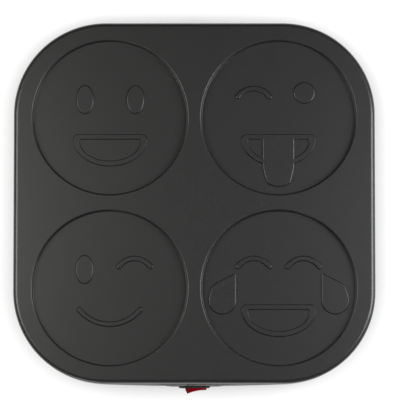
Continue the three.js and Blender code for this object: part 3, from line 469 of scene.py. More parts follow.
studio = {
    "floorSize": 6,                     # metres
    "floorColour": (0.25, 0.25, 0.25),  # the lit floor as the camera and reflections see it
    "floorBounce": (0.85, 0.85, 0.85),  # the floor as the other light sees it, as pale as it looks
    "floorWhite": 0.94,                 # plain white that the camera sees on top of the lit floor
    "paintedShadeLevel": -0.25,              # painted shade: what is left of the white close against the appliance
    "contactReach": 20 * mm,
    "openSide": (-0.1, -0.55, 0.83),    # the painted contact shade is weaker on the side this points to
    "paintedReflectionShadeReach": 200 * mm,            # painted shade: how far out the floor's white is painted darker around the appliance in reflections
    "worldLevel": 0.035,
    "backdropRise": (0.02, 0.10),       # the backdrop ends where a mirrored ray rises this steeply
    # lamps in metres from the plate's middle on the floor, and in watts
    "left": {"x": -0.43, "y": 0.01, "z": 0.66, "power": 3.1, "colour": (1.0, 0.985, 0.96),
             "wide": 0.32, "tall": 0.5},
    "right": {"x": 0.46, "y": -0.01, "z": 0.51, "power": 4.0, "colour": (0.965, 0.975, 1.0),
              "wide": 0.32, "tall": 0.5},
    "front": {"x": -0.25, "y": -0.80, "z": 0.12, "power": 0.8, "colour": (1.0, 0.99, 0.98),
              "wide": 0.3, "tall": 0.15},
}


# 1 for the camera's rays, the given share for those of gloss and glass, 0 for the rest
def backdropRays(nodes, links, share):
    ray = nodes.new("ShaderNodeLightPath").outputs
    mirrored = mathOf(nodes, links, "MAXIMUM", ray["Is Glossy Ray"], ray["Is Transmission Ray"])
    part = mathOf(nodes, links, "MULTIPLY", mirrored, share)
    return mathOf(nodes, links, "MAXIMUM", ray["Is Camera Ray"], part)


def makeFloor():
    deselect()
    bpy.ops.mesh.primitive_plane_add(size=studio["floorSize"], location=(0, 0, 0))
    floor = bpy.context.object
    floor.name = "floor"
    material = bpy.data.materials.new("paleFloor")
    nodes, links = treeOf(material)
    nodes.remove(nodes["Principled BSDF"])
    # painted shade: ambient occlusion dims the floor's white near the appliance where reflections see it
    wide = nodes.new("ShaderNodeAmbientOcclusion")
    fill(wide, {"Distance": studio["paintedReflectionShadeReach"]})
    shown = backdropRays(nodes, links, wide.outputs["AO"])
    seen = nodes.new("ShaderNodeMix")
    seen.data_type = "RGBA"
    fill(seen, {"A": (*studio["floorBounce"], 1), "B": (*studio["floorColour"], 1)})
    links.new(shown, seen.inputs["Factor"])
    plain = nodes.new("ShaderNodeBsdfDiffuse")
    links.new(seen.outputs["Result"], plain.inputs["Color"])

    # painted contact shade: ambient occlusion darkens the floor's emitted white close against the appliance
    side = nodes.new("ShaderNodeCombineXYZ")
    fill(side, dict(zip("XYZ", Vector(studio["openSide"]).normalized())))
    contact = nodes.new("ShaderNodeAmbientOcclusion")
    fill(contact, {"Distance": studio["contactReach"]})
    links.new(side.outputs["Vector"], contact.inputs["Normal"])
    shade = nodes.new("ShaderNodeMapRange")
    fill(shade, {"To Min": studio["paintedShadeLevel"], "To Max": studio["floorWhite"]})
    links.new(contact.outputs["AO"], shade.inputs["Value"])
    white = nodes.new("ShaderNodeEmission")
    links.new(mathOf(nodes, links, "MULTIPLY", shade.outputs["Result"], shown), white.inputs["Strength"])

    total = nodes.new("ShaderNodeAddShader")
    links.new(plain.outputs["BSDF"], total.inputs[0])
    links.new(white.outputs["Emission"], total.inputs[1])
    links.new(total.outputs["Shader"], nodes["Material Output"].inputs["Surface"])
    floor.data.materials.append(material)


def makeWorld():
    world = bpy.data.worlds.new("studioWorld")
    bpy.context.scene.world = world
    nodes, links = treeOf(world)
    grey = nodes["Background"]
    fill(grey, {"Color": (1, 1, 1, 1), "Strength": studio["worldLevel"]})
    white = nodes.new("ShaderNodeBackground")
    way = nodes.new("ShaderNodeTexCoord")
    height = nodes.new("ShaderNodeSeparateXYZ")
    links.new(way.outputs["Generated"], height.inputs["Vector"])
    low = nodes.new("ShaderNodeMapRange")
    start, end = studio["backdropRise"]
    fill(low, {"From Min": start, "From Max": end, "To Min": 1, "To Max": 0})
    links.new(height.outputs["Z"], low.inputs["Value"])
    blend = nodes.new("ShaderNodeMixShader")
    links.new(backdropRays(nodes, links, low.outputs["Result"]), blend.inputs["Fac"])
    links.new(grey.outputs["Background"], blend.inputs[1])
    links.new(white.outputs["Background"], blend.inputs[2])
    links.new(blend.outputs["Shader"], nodes["World Output"].inputs["Surface"])


def makeLamp(name, values):
    deselect()
    bpy.ops.object.light_add(type="AREA", location=(values["x"], middle + values["y"], values["z"]))
    lamp = bpy.context.object
    lamp.name = name
    lamp.data.shape = "RECTANGLE"
    lamp.data.size = values["wide"]
    lamp.data.size_y = values["tall"]
    lamp.data.energy = values["power"]
    lamp.data.color = values["colour"]
    aim = Vector((0, middle, plateTop)) - lamp.location
    lamp.rotation_euler = aim.to_track_quat("-Z", "Y").to_euler()


makeFloor()
makeWorld()
for side in ("left", "right", "front"):
    makeLamp(side + "Lamp", studio[side])
bpy.context.scene.view_settings.view_transform = "Standard"
print("camera and studio ready")


# griddle plate: a cast slab with four wells and a figure raised in each

plate = {
    "edgeRound": 3 * mm, "skinUnderside": 66 * mm, "skirt": 4 * mm,
    "wellRadius": 52.3 * mm, "wellX": 56 * mm, "wellY": 56.65 * mm, "wellFloor": 65.8 * mm,
    "wellUnderside": 62 * mm, "cupEdge": 1.2 * mm, "cupFlat": 0.35 * mm,
    "rimRound": 0.7 * mm, "draft": 0.6 * mm, "floorRound": 0.25 * mm, "wall": 2.6 * mm,
    "bossTop": 68 * mm, "bossRadius": 4.6 * mm, "bossPlace": 104 * mm, "bossFoot": 54.6 * mm,
    "ribFoot": 58.7 * mm, "ribWall": 2 * mm, "drill": 2 * mm,
    "centreBossRadius": 5 * mm, "centreBossFoot": 44.3 * mm,
    "clampBossRadius": 3.2 * mm, "clampBossFoot": 55.2 * mm, "smallDrill": 1.5 * mm,
    "sensorBossRadius": 2.8 * mm, "sensorBossFoot": 59 * mm,
    "elementPlace": 62 * mm, "elementBend": 40 * mm, "elementRadius": 3.25 * mm,
    "exitHalfWidth": 20.25 * mm, "exitEnd": 116 * mm,
}
far = plate["bossPlace"] / mm
plateBosses = [(far, 0), (0, far), (-far, 0), (0, -far)]    # places from the plate's middle, in millimetres
clampBosses = [(-52.5, 0), (52.5, 0), (0, -52.5)]
sensorBosses = [(-45, 30), (-19, 30), (23.8, 30)]

# figures: the outlines are in millimetres from the well's centre, a mouth's heights below it
figure = {
    "root": 0.8 * mm, "rise": 1.2 * mm, "slope": 0.5 * mm, "edge": 0.42 * mm, "edgeSteps": 4,
    "waistSink": 0.05 * mm,     # the slope starts this far below the well's floor
    "roundShare": 0.97,         # of a full round, so that the two ends of a bevel don't meet
    "endAngle": 1.2,            # radians: the corners at the ends of an arch bend more
    "flatAngle": 0.01,          # radians: edges that bend less are dissolved
    "ovalEye": {"x": 16.8, "y": 12.3, "width": 12.1, "height": 19.6},
    "roundEye": {"x": 17.2, "y": 16.8, "width": 14.6, "height": 14.6},
    "closedEye": {"x": 16.5, "top": 21.6, "halfWidth": 12.4, "drop": 9.2, "band": 3.8},
    "smile": {"x": 0, "top": 25.8, "halfWidth": 22, "drop": 13.4, "band": 3.7},
    "mouth": {"halfWidth": 24.7, "top": 10.8, "bottom": 32.4, "corner": 3.6},
    "mouthInside": {"halfWidth": 20.1, "top": 14.5, "bottom": 28.5, "corner": 1.2},
    "tongue": {"halfWidth": 10.8, "top": 12.6, "shoulder": 28.7, "tipHalfWidth": 7.7, "tipShoulder": 43.6,
               "tip": 46.9, "steps": 8},
    "tear": ((37.5, -8.3, 9.3), (37.1, -3.7, 8.5), (29.0, 9.0, 0.8)),   # discs: x, y and radius
}
figureFoot = plate["wellFloor"] - figure["root"]
figureWaist = plate["wellFloor"] - figure["waistSink"]
figureTop = plate["wellFloor"] + figure["rise"]


# the figure above its waist: sloping sides and a softened top
def raiseTop(ob):
    startEdit(ob)
    pickFacing(2, 1)
    bpy.ops.mesh.inset(thickness=figure["slope"], depth=figureTop - figureWaist, use_even_offset=True)
    pick("edges", lambda e: rimOf(e, 2, figureTop))
    bevelPicked(figure["edge"], figure["edgeSteps"])
    endEdit()
    return ob


# a flat face at the figures' foot drawn up to their waist
def drawUp(ob):
    editWhole(ob)
    extrude((0, 0, figureWaist - figureFoot))
    endEdit()
    return outward(ob)


def makeOval(name, values):
    x, y = values["x"] * mm, values["y"] * mm
    ob = disc(name, x, y, figureFoot, radius=0.5 * mm, count=72)
    editWhole(ob)
    scaleAbout((values["width"], values["height"], 1), (x, y, figureFoot))
    endEdit()
    return raiseTop(drawUp(ob))


# a band of even width spun along an arch, with round ends; turned over it makes a smile
def makeArch(name, values, turn=0):
    band = values["band"] * mm
    chord = values["halfWidth"] * mm - band / 2
    rise = values["drop"] * mm - band
    radius = (chord * chord + rise * rise) / (2 * rise)
    half = math.asin(chord / radius)
    ob = box(name, (radius - band / 2, -band / 2, figureFoot), (radius + band / 2, 0, figureWaist))
    startEdit(ob)
    pickFacing(1, 1)
    bpy.ops.mesh.spin(steps=30, angle=-2 * half, center=(0, 0, 0), axis=(0, 0, 1))
    onward = Vector((-math.sin(2 * half), math.cos(2 * half), 0))
    pick("faces", lambda f: all(near(v.co.dot(onward), 0) for v in f.verts))
    extrude(onward * band / 2)
    pick("edges", lambda e: edgeAlong(e, 2) and len(e.link_faces) == 2
         and e.calc_face_angle(0) > figure["endAngle"])
    bevelPicked(band / 2 * figure["roundShare"], segments=9)
    endEdit()
    outward(ob)
    ob.rotation_euler = (0, 0, math.pi / 2 - half)
    settle(ob)
    ob.location = (values["x"] * mm, values["top"] * mm - band / 2 - radius, 0)
    settle(ob)
    ob.rotation_euler = (0, 0, turn)
    return raiseTop(settle(ob))


# half an ellipse below a straight top with soft corners
def makeBowl(name, values):
    corner = values["corner"] * mm
    level = -values["top"] * mm - corner
    ob = disc(name, 0, 0, figureFoot, radius=1 * mm, count=96)
    editWhole(ob)
    below = values["bottom"] + level / mm
    scaleAbout((values["halfWidth"], below, 1), (0, 0, figureFoot))
    bpy.ops.transform.translate(value=(0, level, 0))
    bpy.ops.mesh.bisect(plane_co=(0, level, figureFoot), plane_no=(0, 1, 0), clear_outer=True)
    pick("edges", lambda e: all(near(v.co.y, level) for v in e.verts))
    extrude((0, corner, 0))
    pick("edges", lambda e: all(near(v.co.y, level) for v in e.verts))
    bpy.ops.mesh.dissolve_edges(use_verts=False)
    pick("verts", lambda v: near(v.co.y, level + corner))
    bpy.ops.mesh.bevel(offset=corner * figure["roundShare"], segments=8, affect="VERTICES")
    endEdit()
    return drawUp(ob)


# an open mouth: a bowl within a bowl, the inner one made twice as tall to cut right through
def makeMouth():
    ob = makeBowl("mouth", figure["mouth"])
    inside = makeBowl("mouthInside", figure["mouthInside"])
    editWhole(inside)
    scaleAbout((1, 1, 2), (0, 0, (figureFoot + figureWaist) / 2))
    endEdit()
    return raiseTop(cutAway(ob, inside))


# rows of the tongue from its root down to its tip, each a half width and a height; half of a
# cubic curve closes the tip
def tongueRows():
    t = figure["tongue"]
    wide, narrow, shoulder, low = t["halfWidth"], t["tipHalfWidth"], t["shoulder"], t["tipShoulder"]
    rows = [(wide, -t["top"])]
    for i in range(t["steps"] + 1):
        share = i / t["steps"]
        rows.append((wide - (wide - narrow) * share ** 2, -shoulder - (low - shoulder) * share))
    for i in range(1, t["steps"]):
        share = 0.5 * i / t["steps"]
        rest = 1 - share
        x = narrow * (rest ** 3 - share ** 3) + narrow / 2 * 3 * (rest ** 2 * share - rest * share ** 2)
        y = -low * (rest ** 3 + share ** 3) - t["tip"] * 3 * rest * share
        rows.append((x, y))
    return rows


def makeTongue():
    rows = tongueRows()
    width, y = rows[0]
    nextWidth, nextY = rows[1]
    deselect()
    bpy.ops.mesh.primitive_plane_add(size=1, location=(0, (y + nextY) / 2 * mm, figureFoot))
    ob = bpy.context.object
    ob.name = "tongue"
    ob.scale = (2 * width * mm, (y - nextY) * mm, 1)
    settle(ob)
    width, y = nextWidth, nextY
    startEdit(ob)
    pick("edges", lambda e: all(near(v.co.y, y * mm) for v in e.verts))
    for nextWidth, nextY in rows[2:]:
        extrude((0, (nextY - y) * mm, 0))
        scaleAbout((nextWidth / width, 1, 1), (0, nextY * mm, figureFoot))
        width, y = nextWidth, nextY
    pickAll()
    bpy.ops.mesh.dissolve_limited(angle_limit=figure["flatAngle"])
    endEdit()
    return raiseTop(drawUp(ob))


# a drop: the hull round a large bulb, a shoulder and a small tip
def makeTear(name, side):
    discs = [drawUp(disc(name, side * x * mm, y * mm, figureFoot, radius * mm, count=64))
             for x, y, radius in figure["tear"]]
    ob = focus(discs[0])
    for other in discs[1:]:
        other.select_set(True)
    bpy.ops.object.join()
    editWhole(ob)
    bpy.ops.mesh.convex_hull()
    bpy.ops.mesh.dissolve_limited(angle_limit=figure["flatAngle"])
    endEdit()
    return raiseTop(outward(ob))


# a rod at a place given in millimetres from the plate's middle
def post(name, x, y, radius, low, high, count=32):
    return upright(name, x * mm, y * mm + middle, radius, low, high, count)


# a ring that follows the heating element's rounded square between two offsets
def elementRing(name, inner, outer, low, high):
    ring = []
    for offset, more in ((outer, 0), (inner, 1 * mm)):      # the inner block is taller, to cut through
        half = plate["elementPlace"] + offset
        ring.append(roundedBlock(
            name, (-half, middle - half, low - more), (half, middle + half, high + more),
            plate["elementBend"] + offset, segments=24))
    return cutAway(ring[0], ring[1])


def makeSlab():
    width, depth = appliance["width"], appliance["depth"]
    slab = roundedBlock(
        "griddlePlate", (-width / 2, middle - depth / 2, appliance["plateFoot"]),
        (width / 2, middle + depth / 2, plateTop), appliance["cornerRadius"], segments=40)
    roundRim(slab, 2, plateTop, plate["edgeRound"], segments=8)
    startEdit(slab)
    pickFacing(2, -1)
    bpy.ops.mesh.inset(thickness=plate["skirt"], depth=0)
    extrude((0, 0, plate["skinUnderside"] - appliance["plateFoot"]))
    endEdit()
    return slab


# the cup that hangs under each well, and the ribs on both sides of the heating element
def addCupsAndRibs(ob, wells):
    p = plate
    cup, low = p["wellRadius"] - p["rimRound"] + p["wall"], p["wellUnderside"]
    profile = [(cup - p["cupEdge"], low), (cup - p["cupFlat"], low + p["cupFlat"]),
               (cup, low + p["cupEdge"]), (cup, p["bossTop"])]
    for x, y in wells:
        weld(ob, turned("cup", x, y + middle, profile, count=96))
    clear = p["elementRadius"] + gap
    for name, inner, outer in (("outerRib", clear, clear + p["ribWall"]),
                               ("innerRib", -clear - p["ribWall"], -clear)):
        rib = elementRing(name, inner, outer, p["ribFoot"], p["bossTop"])
        exitCut = box("exitCut", (-p["exitHalfWidth"], middle, p["ribFoot"] - overrun),
                      (p["exitHalfWidth"], middle + p["exitEnd"], low))
        weld(ob, cutAway(rib, exitCut))


# a well from its floor, up the slope of its side and out over its rim
def wellProfile():
    p = plate
    floorRadius = p["wellRadius"] - p["rimRound"] - p["draft"]
    profile = roundArc(floorRadius - p["floorRound"], p["wellFloor"] + p["floorRound"], p["floorRound"],
                       start=-1, end=0, steps=5)
    profile += roundArc(p["wellRadius"], plateTop - p["rimRound"], p["rimRound"], start=2, end=1, steps=6)
    return profile + [(p["wellRadius"], plateTop + overrun)]


def makeGriddlePlate():
    p = plate
    ob = makeSlab()
    wells = [(side * p["wellX"], way * p["wellY"]) for way in (1, -1) for side in (-1, 1)]
    addCupsAndRibs(ob, wells)
    kinds = (       # places, radius, foot, radius of the drilled hole, and its end
        (plateBosses, p["bossRadius"], p["bossFoot"], p["drill"], p["skinUnderside"]),
        ([(0, 0)], p["centreBossRadius"], p["centreBossFoot"], p["drill"], p["skinUnderside"]),
        (clampBosses, p["clampBossRadius"], p["clampBossFoot"], p["smallDrill"], p["wellUnderside"]),
        (sensorBosses, p["sensorBossRadius"], p["sensorBossFoot"], p["smallDrill"], p["wellUnderside"]),
    )
    bosses = [(x, y, *rest) for places, *rest in kinds for x, y in places]
    for x, y, radius, foot, drill, end in bosses:
        weld(ob, post("boss", x, y, radius, foot, p["bossTop"]))
    for x, y in wells:
        cutAway(ob, turned("well", x, y + middle, wellProfile(), count=160))
    for x, y, radius, foot, drill, end in bosses:
        cutAway(ob, post("drill", x, y, drill, foot - overrun, end, count=20))
    raiseFigures(ob, wells)
    return smoothed(ob)


# the four faces, in the order of the wells: rear left, rear right, front left, front right
def raiseFigures(ob, wells):
    ovalEye = makeOval("ovalEye", figure["ovalEye"])
    otherOval = copied(ovalEye, "otherOval", -2 * figure["ovalEye"]["x"] * mm)
    roundEye = makeOval("roundEye", figure["roundEye"])
    closedEye = makeArch("closedEye", figure["closedEye"])
    otherClosed = copied(closedEye, "otherClosed", -2 * figure["closedEye"]["x"] * mm)
    mouth, tongue = makeMouth(), makeTongue()
    smile = makeArch("smile", figure["smile"], math.pi)
    tears = [makeTear("tear", side) for side in (-1, 1)]
    figures = (
        (otherOval, ovalEye, mouth),
        (otherClosed, roundEye, mouth, tongue),
        (otherOval, closedEye, smile),
        (otherClosed, closedEye, mouth, *tears),
    )
    for (x, y), parts in zip(wells, figures):
        for part in parts:
            weld(ob, copied(part, "raised", x, y + middle))
    for part in (ovalEye, otherOval, roundEye, closedEye, otherClosed, mouth, tongue, smile, *tears):
        bpy.data.objects.remove(part)


fitted(makeGriddlePlate(), "griddlePlate", "root", ["griddle_plate"], "castNonstick")


# housing: a ring of moulded walls, bowed at the front, with the pad that carries the switch

housing = {
    "inset": 0.8 * mm, "wall": 2.5 * mm, "foot": 5 * mm, "top": 57.7 * mm, "footEdge": 1.2 * mm,
    "bow": 1.1 * mm, "bowSteps": 24,
    "lugWidth": 16 * mm, "lugNear": 96 * mm, "lugFoot": 50.3 * mm, "lugTop": 54.3 * mm,
    "lugHole": 2.3 * mm, "lugCorner": 2.5 * mm,
    "columnX": 62 * mm, "columnY": 111.1 * mm, "columnRadius": 4.4 * mm, "columnFoot": 7.8 * mm,
    "columnTop": 34 * mm, "columnHole": 2 * mm, "holeFloor": 4 * mm, "columnRib": 2.4 * mm,
}
pad = {
    "height": 35 * mm,          # of its middle above the floor
    "width": 29 * mm, "tall": 20 * mm, "corner": 3 * mm,
    "stand": 0.8 * mm, "slope": 9 * mm, "steps": 14, "root": 1.8 * mm,
}
switchCase = {
    "cutWidth": 19.6 * mm, "cutHeight": 13 * mm, "depth": 17 * mm, "wall": 0.8 * mm, "floor": 1.6 * mm,
    "caseCorner": 0.6 * mm,
    "bezelWidth": 21 * mm, "bezelHeight": 15 * mm, "bezelStand": 1.2 * mm, "bezelSlope": 1 * mm,
    "bezelCorner": 2 * mm,
    "pivotDepth": 4.8 * mm, "axleHole": 1.5 * mm,
    "bladeSpread": 6 * mm, "bladeSlot": (0.7 * mm, 2.7 * mm),
}
gland = {
    "height": 22 * mm, "neck": 6 * mm, "bore": 3.6 * mm, "flange": 8.2 * mm, "flangeThickness": 1.8 * mm,
    "edge": 0.5 * mm, "mouthEdge": 0.8 * mm, "end": 112.1 * mm,
    "boreEnd": 9 * mm,          # past the wall's outside
}

# where each quarter lies from the middle: -1 is left or front, 1 is right or rear
quarters = {"front_left": (-1, -1), "rear_left": (-1, 1), "front_right": (1, -1), "rear_right": (1, 1)}
wallOutside = appliance["depth"] / 2 - housing["inset"]
wallInside = wallOutside - housing["wall"]
padFace = middle - wallOutside - housing["bow"] - pad["stand"]


# a depth given as its distance out from the pad's face; less than 0 is further in
def out(distance):
    return padFace - distance


# a closed block with the appliance's outline, drawn in all round
def outlineBlock(name, inset, low, high):
    halfWidth = appliance["width"] / 2 - inset
    halfDepth = appliance["depth"] / 2 - inset
    return roundedBlock(
        name, (-halfWidth, middle - halfDepth, low), (halfWidth, middle + halfDepth, high),
        appliance["cornerRadius"] - inset, segments=36)


# divides the edges that run along X at a depth, and bends them along Y like a shallow parabola
def bendEdges(half, y, push, steps):
    pick("edges", lambda e: edgeAlong(e, 0) and near(centreOf(e).y, y))
    bpy.ops.mesh.subdivide(number_cuts=steps - 1)
    for i in range(1, steps):
        x = half * (2 * i / steps - 1)
        pick("verts", lambda v: near(v.co.x, x) and near(v.co.y, y))
        bpy.ops.transform.translate(value=(0, push * (1 - (x / half) ** 2), 0))


# the pad: a rounded field raised over the wall in a soft S
def makePad():
    halfWidth = pad["width"] / 2 + pad["slope"]
    halfHeight = pad["tall"] / 2 + pad["slope"]
    level = out(-pad["stand"])
    ob = roundedBlock(
        "pad", (-halfWidth, level, pad["height"] - halfHeight),
        (halfWidth, level + pad["root"], pad["height"] + halfHeight),
        pad["corner"] + pad["slope"], segments=10, axis=1)
    startEdit(ob)
    pickFacing(1, -1)
    risen = 0
    for i in range(1, pad["steps"] + 1):
        goal = pad["stand"] * (1 - math.cos(math.pi * i / pad["steps"])) / 2
        bpy.ops.mesh.inset(thickness=pad["slope"] / pad["steps"], depth=goal - risen)
        risen = goal
    endEdit()
    return outward(ob)


# a round rod in the middle, at a height, from one depth to another
def rodAlongY(name, z, radius, start, end, count=48):
    deselect()
    bpy.ops.mesh.primitive_cylinder_add(
        vertices=count, radius=radius, depth=end - start, location=(0, (start + end) / 2, z),
        rotation=(math.pi / 2, 0, 0))
    ob = bpy.context.object
    ob.name = name
    return settle(ob)


# a lug that holds a plate screw, on the wall that lies so many quarter turns from the right one
def makeLug(turn):
    half = housing["lugWidth"] / 2
    ob = box("lug", (housing["lugNear"], -half, housing["lugFoot"]),
             (wallInside + housing["wall"] / 2, half, housing["lugTop"]))
    startEdit(ob)
    pick("edges", lambda e: edgeAlong(e, 2) and near(centreOf(e).x, housing["lugNear"]))
    bevelPicked(housing["lugCorner"], segments=5)
    endEdit()
    ob.rotation_euler = (0, 0, turn * math.pi / 2)
    ob.location = (0, middle, 0)
    return settle(ob)


def makeHousing():
    h = housing
    ob = outlineBlock("housingShell", h["inset"], h["foot"], h["top"])
    startEdit(ob)
    half = appliance["width"] / 2 - appliance["cornerRadius"]
    bendEdges(half, middle - wallOutside, -h["bow"], h["bowSteps"])
    endEdit()
    roundRim(ob, 2, h["foot"], h["footEdge"], segments=5)
    cutAway(ob, outlineBlock("inside", h["inset"] + h["wall"], 0, plateTop))
    weld(ob, makePad(), *[makeLug(turn) for turn in range(4)])
    for sx, side in quarters.values():
        x, y = sx * h["columnX"], middle + side * h["columnY"]
        wallY = middle + side * (wallInside + h["wall"] / 2)
        rib = box("rib", (x - h["columnRib"] / 2, min(y, wallY), h["columnFoot"]),
                  (x + h["columnRib"] / 2, max(y, wallY), h["columnTop"]))
        column = upright("column", x, y, h["columnRadius"], h["columnFoot"], h["columnTop"], count=40)
        weld(ob, column, rib)
        cutAway(ob, upright("hole", x, y, h["columnHole"], 0, h["columnTop"] - h["holeFloor"], count=24))
    halfX, halfZ = switchCase["cutWidth"] / 2, switchCase["cutHeight"] / 2
    cutAway(
        ob,
        box("switchHole", (-halfX, out(overrun), pad["height"] - halfZ),
            (halfX, middle - wallInside + overrun, pad["height"] + halfZ)),
        rodAlongY("glandHole", gland["height"], gland["neck"] + gap,
                  middle + wallInside - overrun, middle + wallOutside + overrun),
    )
    for x, y in plateBosses:
        cutAway(ob, post("lugHole", x, y, h["lugHole"],
                         h["lugFoot"] - overrun, h["lugTop"] + overrun, count=24))
    return smoothed(ob)


fitted(makeHousing(), "housingShell", "root", ["housing_shell"], "housingPlastic")


# switch: a bezel with a rounded front and a case behind it

def makeBezel():
    s = switchCase
    ob = roundedBlock(
        "switchBody",
        (-s["bezelWidth"] / 2, out(s["bezelStand"]), pad["height"] - s["bezelHeight"] / 2),
        (s["bezelWidth"] / 2, out(gap), pad["height"] + s["bezelHeight"] / 2),
        s["bezelCorner"], segments=8, axis=1)
    roundRim(ob, 1, out(s["bezelStand"]), s["bezelSlope"], segments=7)
    return ob


def makeSwitchBody():
    s = switchCase
    ob = makeBezel()
    halfX = s["cutWidth"] / 2 - gap
    halfZ = s["cutHeight"] / 2 - gap
    low, high = pad["height"] - halfZ, pad["height"] + halfZ
    weld(ob, roundedBlock("case", (-halfX, out(s["bezelStand"] / 2), low), (halfX, out(-s["depth"]), high),
                          s["caseCorner"], segments=3, axis=1))
    wall = s["wall"]
    floor = out(s["floor"] - s["depth"])
    cutAway(
        ob,
        box("well", (-halfX + wall, out(overrun), low + wall), (halfX - wall, floor, high - wall)),
        upright("axleHole", 0, out(-s["pivotDepth"]), s["axleHole"],
                low - overrun, high + overrun, count=24),
    )
    slotX, slotZ = s["bladeSlot"]
    for x in (-s["bladeSpread"], 0, s["bladeSpread"]):
        cutAway(ob, box("slot", (x - slotX, floor - overrun, pad["height"] - slotZ),
                        (x + slotX, out(-s["depth"]) + overrun, pad["height"] + slotZ)))
    return smoothed(ob)


fitted(makeSwitchBody(), "switchBody", "root", ["switch_body"], "blackPlastic")


# rocker: a dished lever about an upright axle, shown with its left end out

rocker = {
    "rows": [(6.8, -3.6), (7.4, -5.7), (6.5, -8.7)],        # half lengths and places from the axle, from
    "hollow": [(5.6, 0.4), (6.2, -5.7), (5.3, -6.8)],       # foot to face, in millimetres
    "height": 10.2 * mm, "hubWall": 1 * mm, "dish": 0.7 * mm, "dishSteps": 12, "edge": 0.3 * mm,
    "hub": 2.6 * mm, "hubFoot": 4.8 * mm, "axleRadius": 1.2 * mm, "axleLength": 0.8 * mm,
    "stemRadius": 2.2 * mm, "stemStart": -7.4 * mm, "stemEnd": 3.2 * mm,
    "bore": 1.6 * mm, "boreStart": -3.9 * mm, "boreEnd": 8 * mm,
    "restTilt": 11,             # degrees
}


# a block that grows from row to row towards the front, each row a half length and a place
def rowBlock(name, rows, halfHeight):
    (half, y), (nextHalf, nextY) = rows[0], rows[1]
    ob = box(name, (-half * mm, nextY * mm, -halfHeight), (half * mm, y * mm, halfHeight))
    startEdit(ob)
    pickFacing(1, -1)
    scaleAbout((nextHalf / half, 1, 1), (0, nextY * mm, 0))
    half, y = nextHalf, nextY
    for nextHalf, nextY in rows[2:]:
        extrude((0, (nextY - y) * mm, 0))
        scaleAbout((nextHalf / half, 1, 1), (0, nextY * mm, 0))
        half, y = nextHalf, nextY
    endEdit()
    return ob


def makeRocker():
    r = rocker
    high = r["height"] / 2
    ob = rowBlock("switchRocker", r["rows"], high)
    half, face = r["rows"][-1][0] * mm, r["rows"][-1][1] * mm
    startEdit(ob)
    bendEdges(half, face, r["dish"], r["dishSteps"])
    pick("edges", lambda e: e.calc_face_angle(0) > sharpAngle)
    bevelPicked(r["edge"], segments=4)
    endEdit()
    cutAway(ob, rowBlock("hollow", r["hollow"], high - r["hubWall"]))
    for side in (-1, 1):
        inner = side * (high - r["hubWall"])
        low, top = sorted((inner, side * high))
        axleLow, axleTop = sorted((inner, side * (high + r["axleLength"])))
        weld(
            ob,
            box("cheek", (-r["hub"], -r["hubFoot"], low), (r["hub"], 0, top)),
            upright("hub", 0, 0, r["hub"], low, top, count=40),
            upright("axle", 0, 0, r["axleRadius"], axleLow, axleTop),
        )
    weld(ob, rodAlongY("stem", 0, r["stemRadius"], r["stemStart"], r["stemEnd"], count=32))
    cutAway(ob, rodAlongY("bore", 0, r["bore"], r["boreStart"], r["boreEnd"], count=32))
    smoothed(ob)
    ob.rotation_euler = (0, 0, math.radians(r["restTilt"]))
    ob.location = (0, out(-switchCase["pivotDepth"]), pad["height"])
    return settle(ob)


fitted(makeRocker(), "switchRocker", "rocker", ["switch_rocker"], "redPlastic")


# base: the bottom cover with its vents, four rubber feet and four screws

cover = {
    "inset": 3.6 * mm, "foot": 5 * mm, "top": 7.5 * mm, "rimWall": 1.8 * mm, "rimTop": 12.5 * mm,
    "edge": 0.5 * mm, "notch": 5 * mm,
    "slotWidth": 3 * mm, "slotLength": 34 * mm, "slotRound": 1.44 * mm,
    "slots": 4, "slotStep": 9 * mm, "slotOffset": 44 * mm,
    "screwHole": 2.2 * mm, "plugHole": 3.7 * mm, "blockHole": 1.5 * mm, "blockScrew": (5.5 * mm, 92 * mm),
}
foot = {
    "place": 84 * mm, "radius": 8 * mm, "sole": 7 * mm, "round": 0.8 * mm, "top": 4.7 * mm,
    "plug": 3.4 * mm, "plugTop": 7.8 * mm, "grip": 4.4 * mm, "end": 2.4 * mm, "endTop": 10 * mm,
    "dishRadius": 4.6 * mm, "dishShare": 0.8, "dishDepth": 0.5 * mm,
}
baseScrew = {
    "radius": 1.7 * mm, "head": 3.6 * mm, "low": 2.6 * mm, "crown": 1.9 * mm, "rise": 1.1 * mm,
    "seat": 4.7 * mm, "bite": 17.3 * mm, "tip": 0.3 * mm, "end": 19 * mm,
    "steps": 6, "slotWidth": 0.8 * mm, "slotLength": 3.6 * mm, "slotDepth": 1.1 * mm,
}


# the cover: a tray with notches for the columns, vent slots, and holes for screws and feet
def makeCover():
    c = cover
    ob = outlineBlock("baseCover", c["inset"], c["foot"], c["rimTop"])
    roundRim(ob, 2, c["foot"], c["edge"], segments=3)
    cutAway(ob, outlineBlock("tray", c["inset"] + c["rimWall"], c["top"], plateTop))
    for sx, side in quarters.values():
        x, y = sx * housing["columnX"], middle + side * housing["columnY"]
        start, end = sorted((y - side * c["notch"], middle + side * appliance["depth"] / 2))
        cutAway(
            ob,
            box("notch", (x - c["notch"], start, c["top"]), (x + c["notch"], end, plateTop)),
            upright("screwHole", x, y, c["screwHole"], 0, c["top"] + overrun),
        )
    for side in (-1, 1):
        for i in range(c["slots"]):
            x = side * c["slotOffset"] + (i - (c["slots"] - 1) / 2) * c["slotStep"]
            cutAway(ob, roundedBlock(
                "slot", (x - c["slotWidth"] / 2, middle - c["slotLength"] / 2, c["foot"] - overrun),
                (x + c["slotWidth"] / 2, middle + c["slotLength"] / 2, c["top"] + overrun),
                c["slotRound"], segments=6))
    for sx, sy in quarters.values():
        cutAway(ob, upright("plugHole", sx * foot["place"], middle + sy * foot["place"],
                            c["plugHole"], 0, c["top"] + overrun, count=40))
    x, y = c["blockScrew"]
    cutAway(ob, upright("blockHole", x, middle + y, c["blockHole"], 0, c["top"] + overrun, count=64))
    return smoothed(ob)


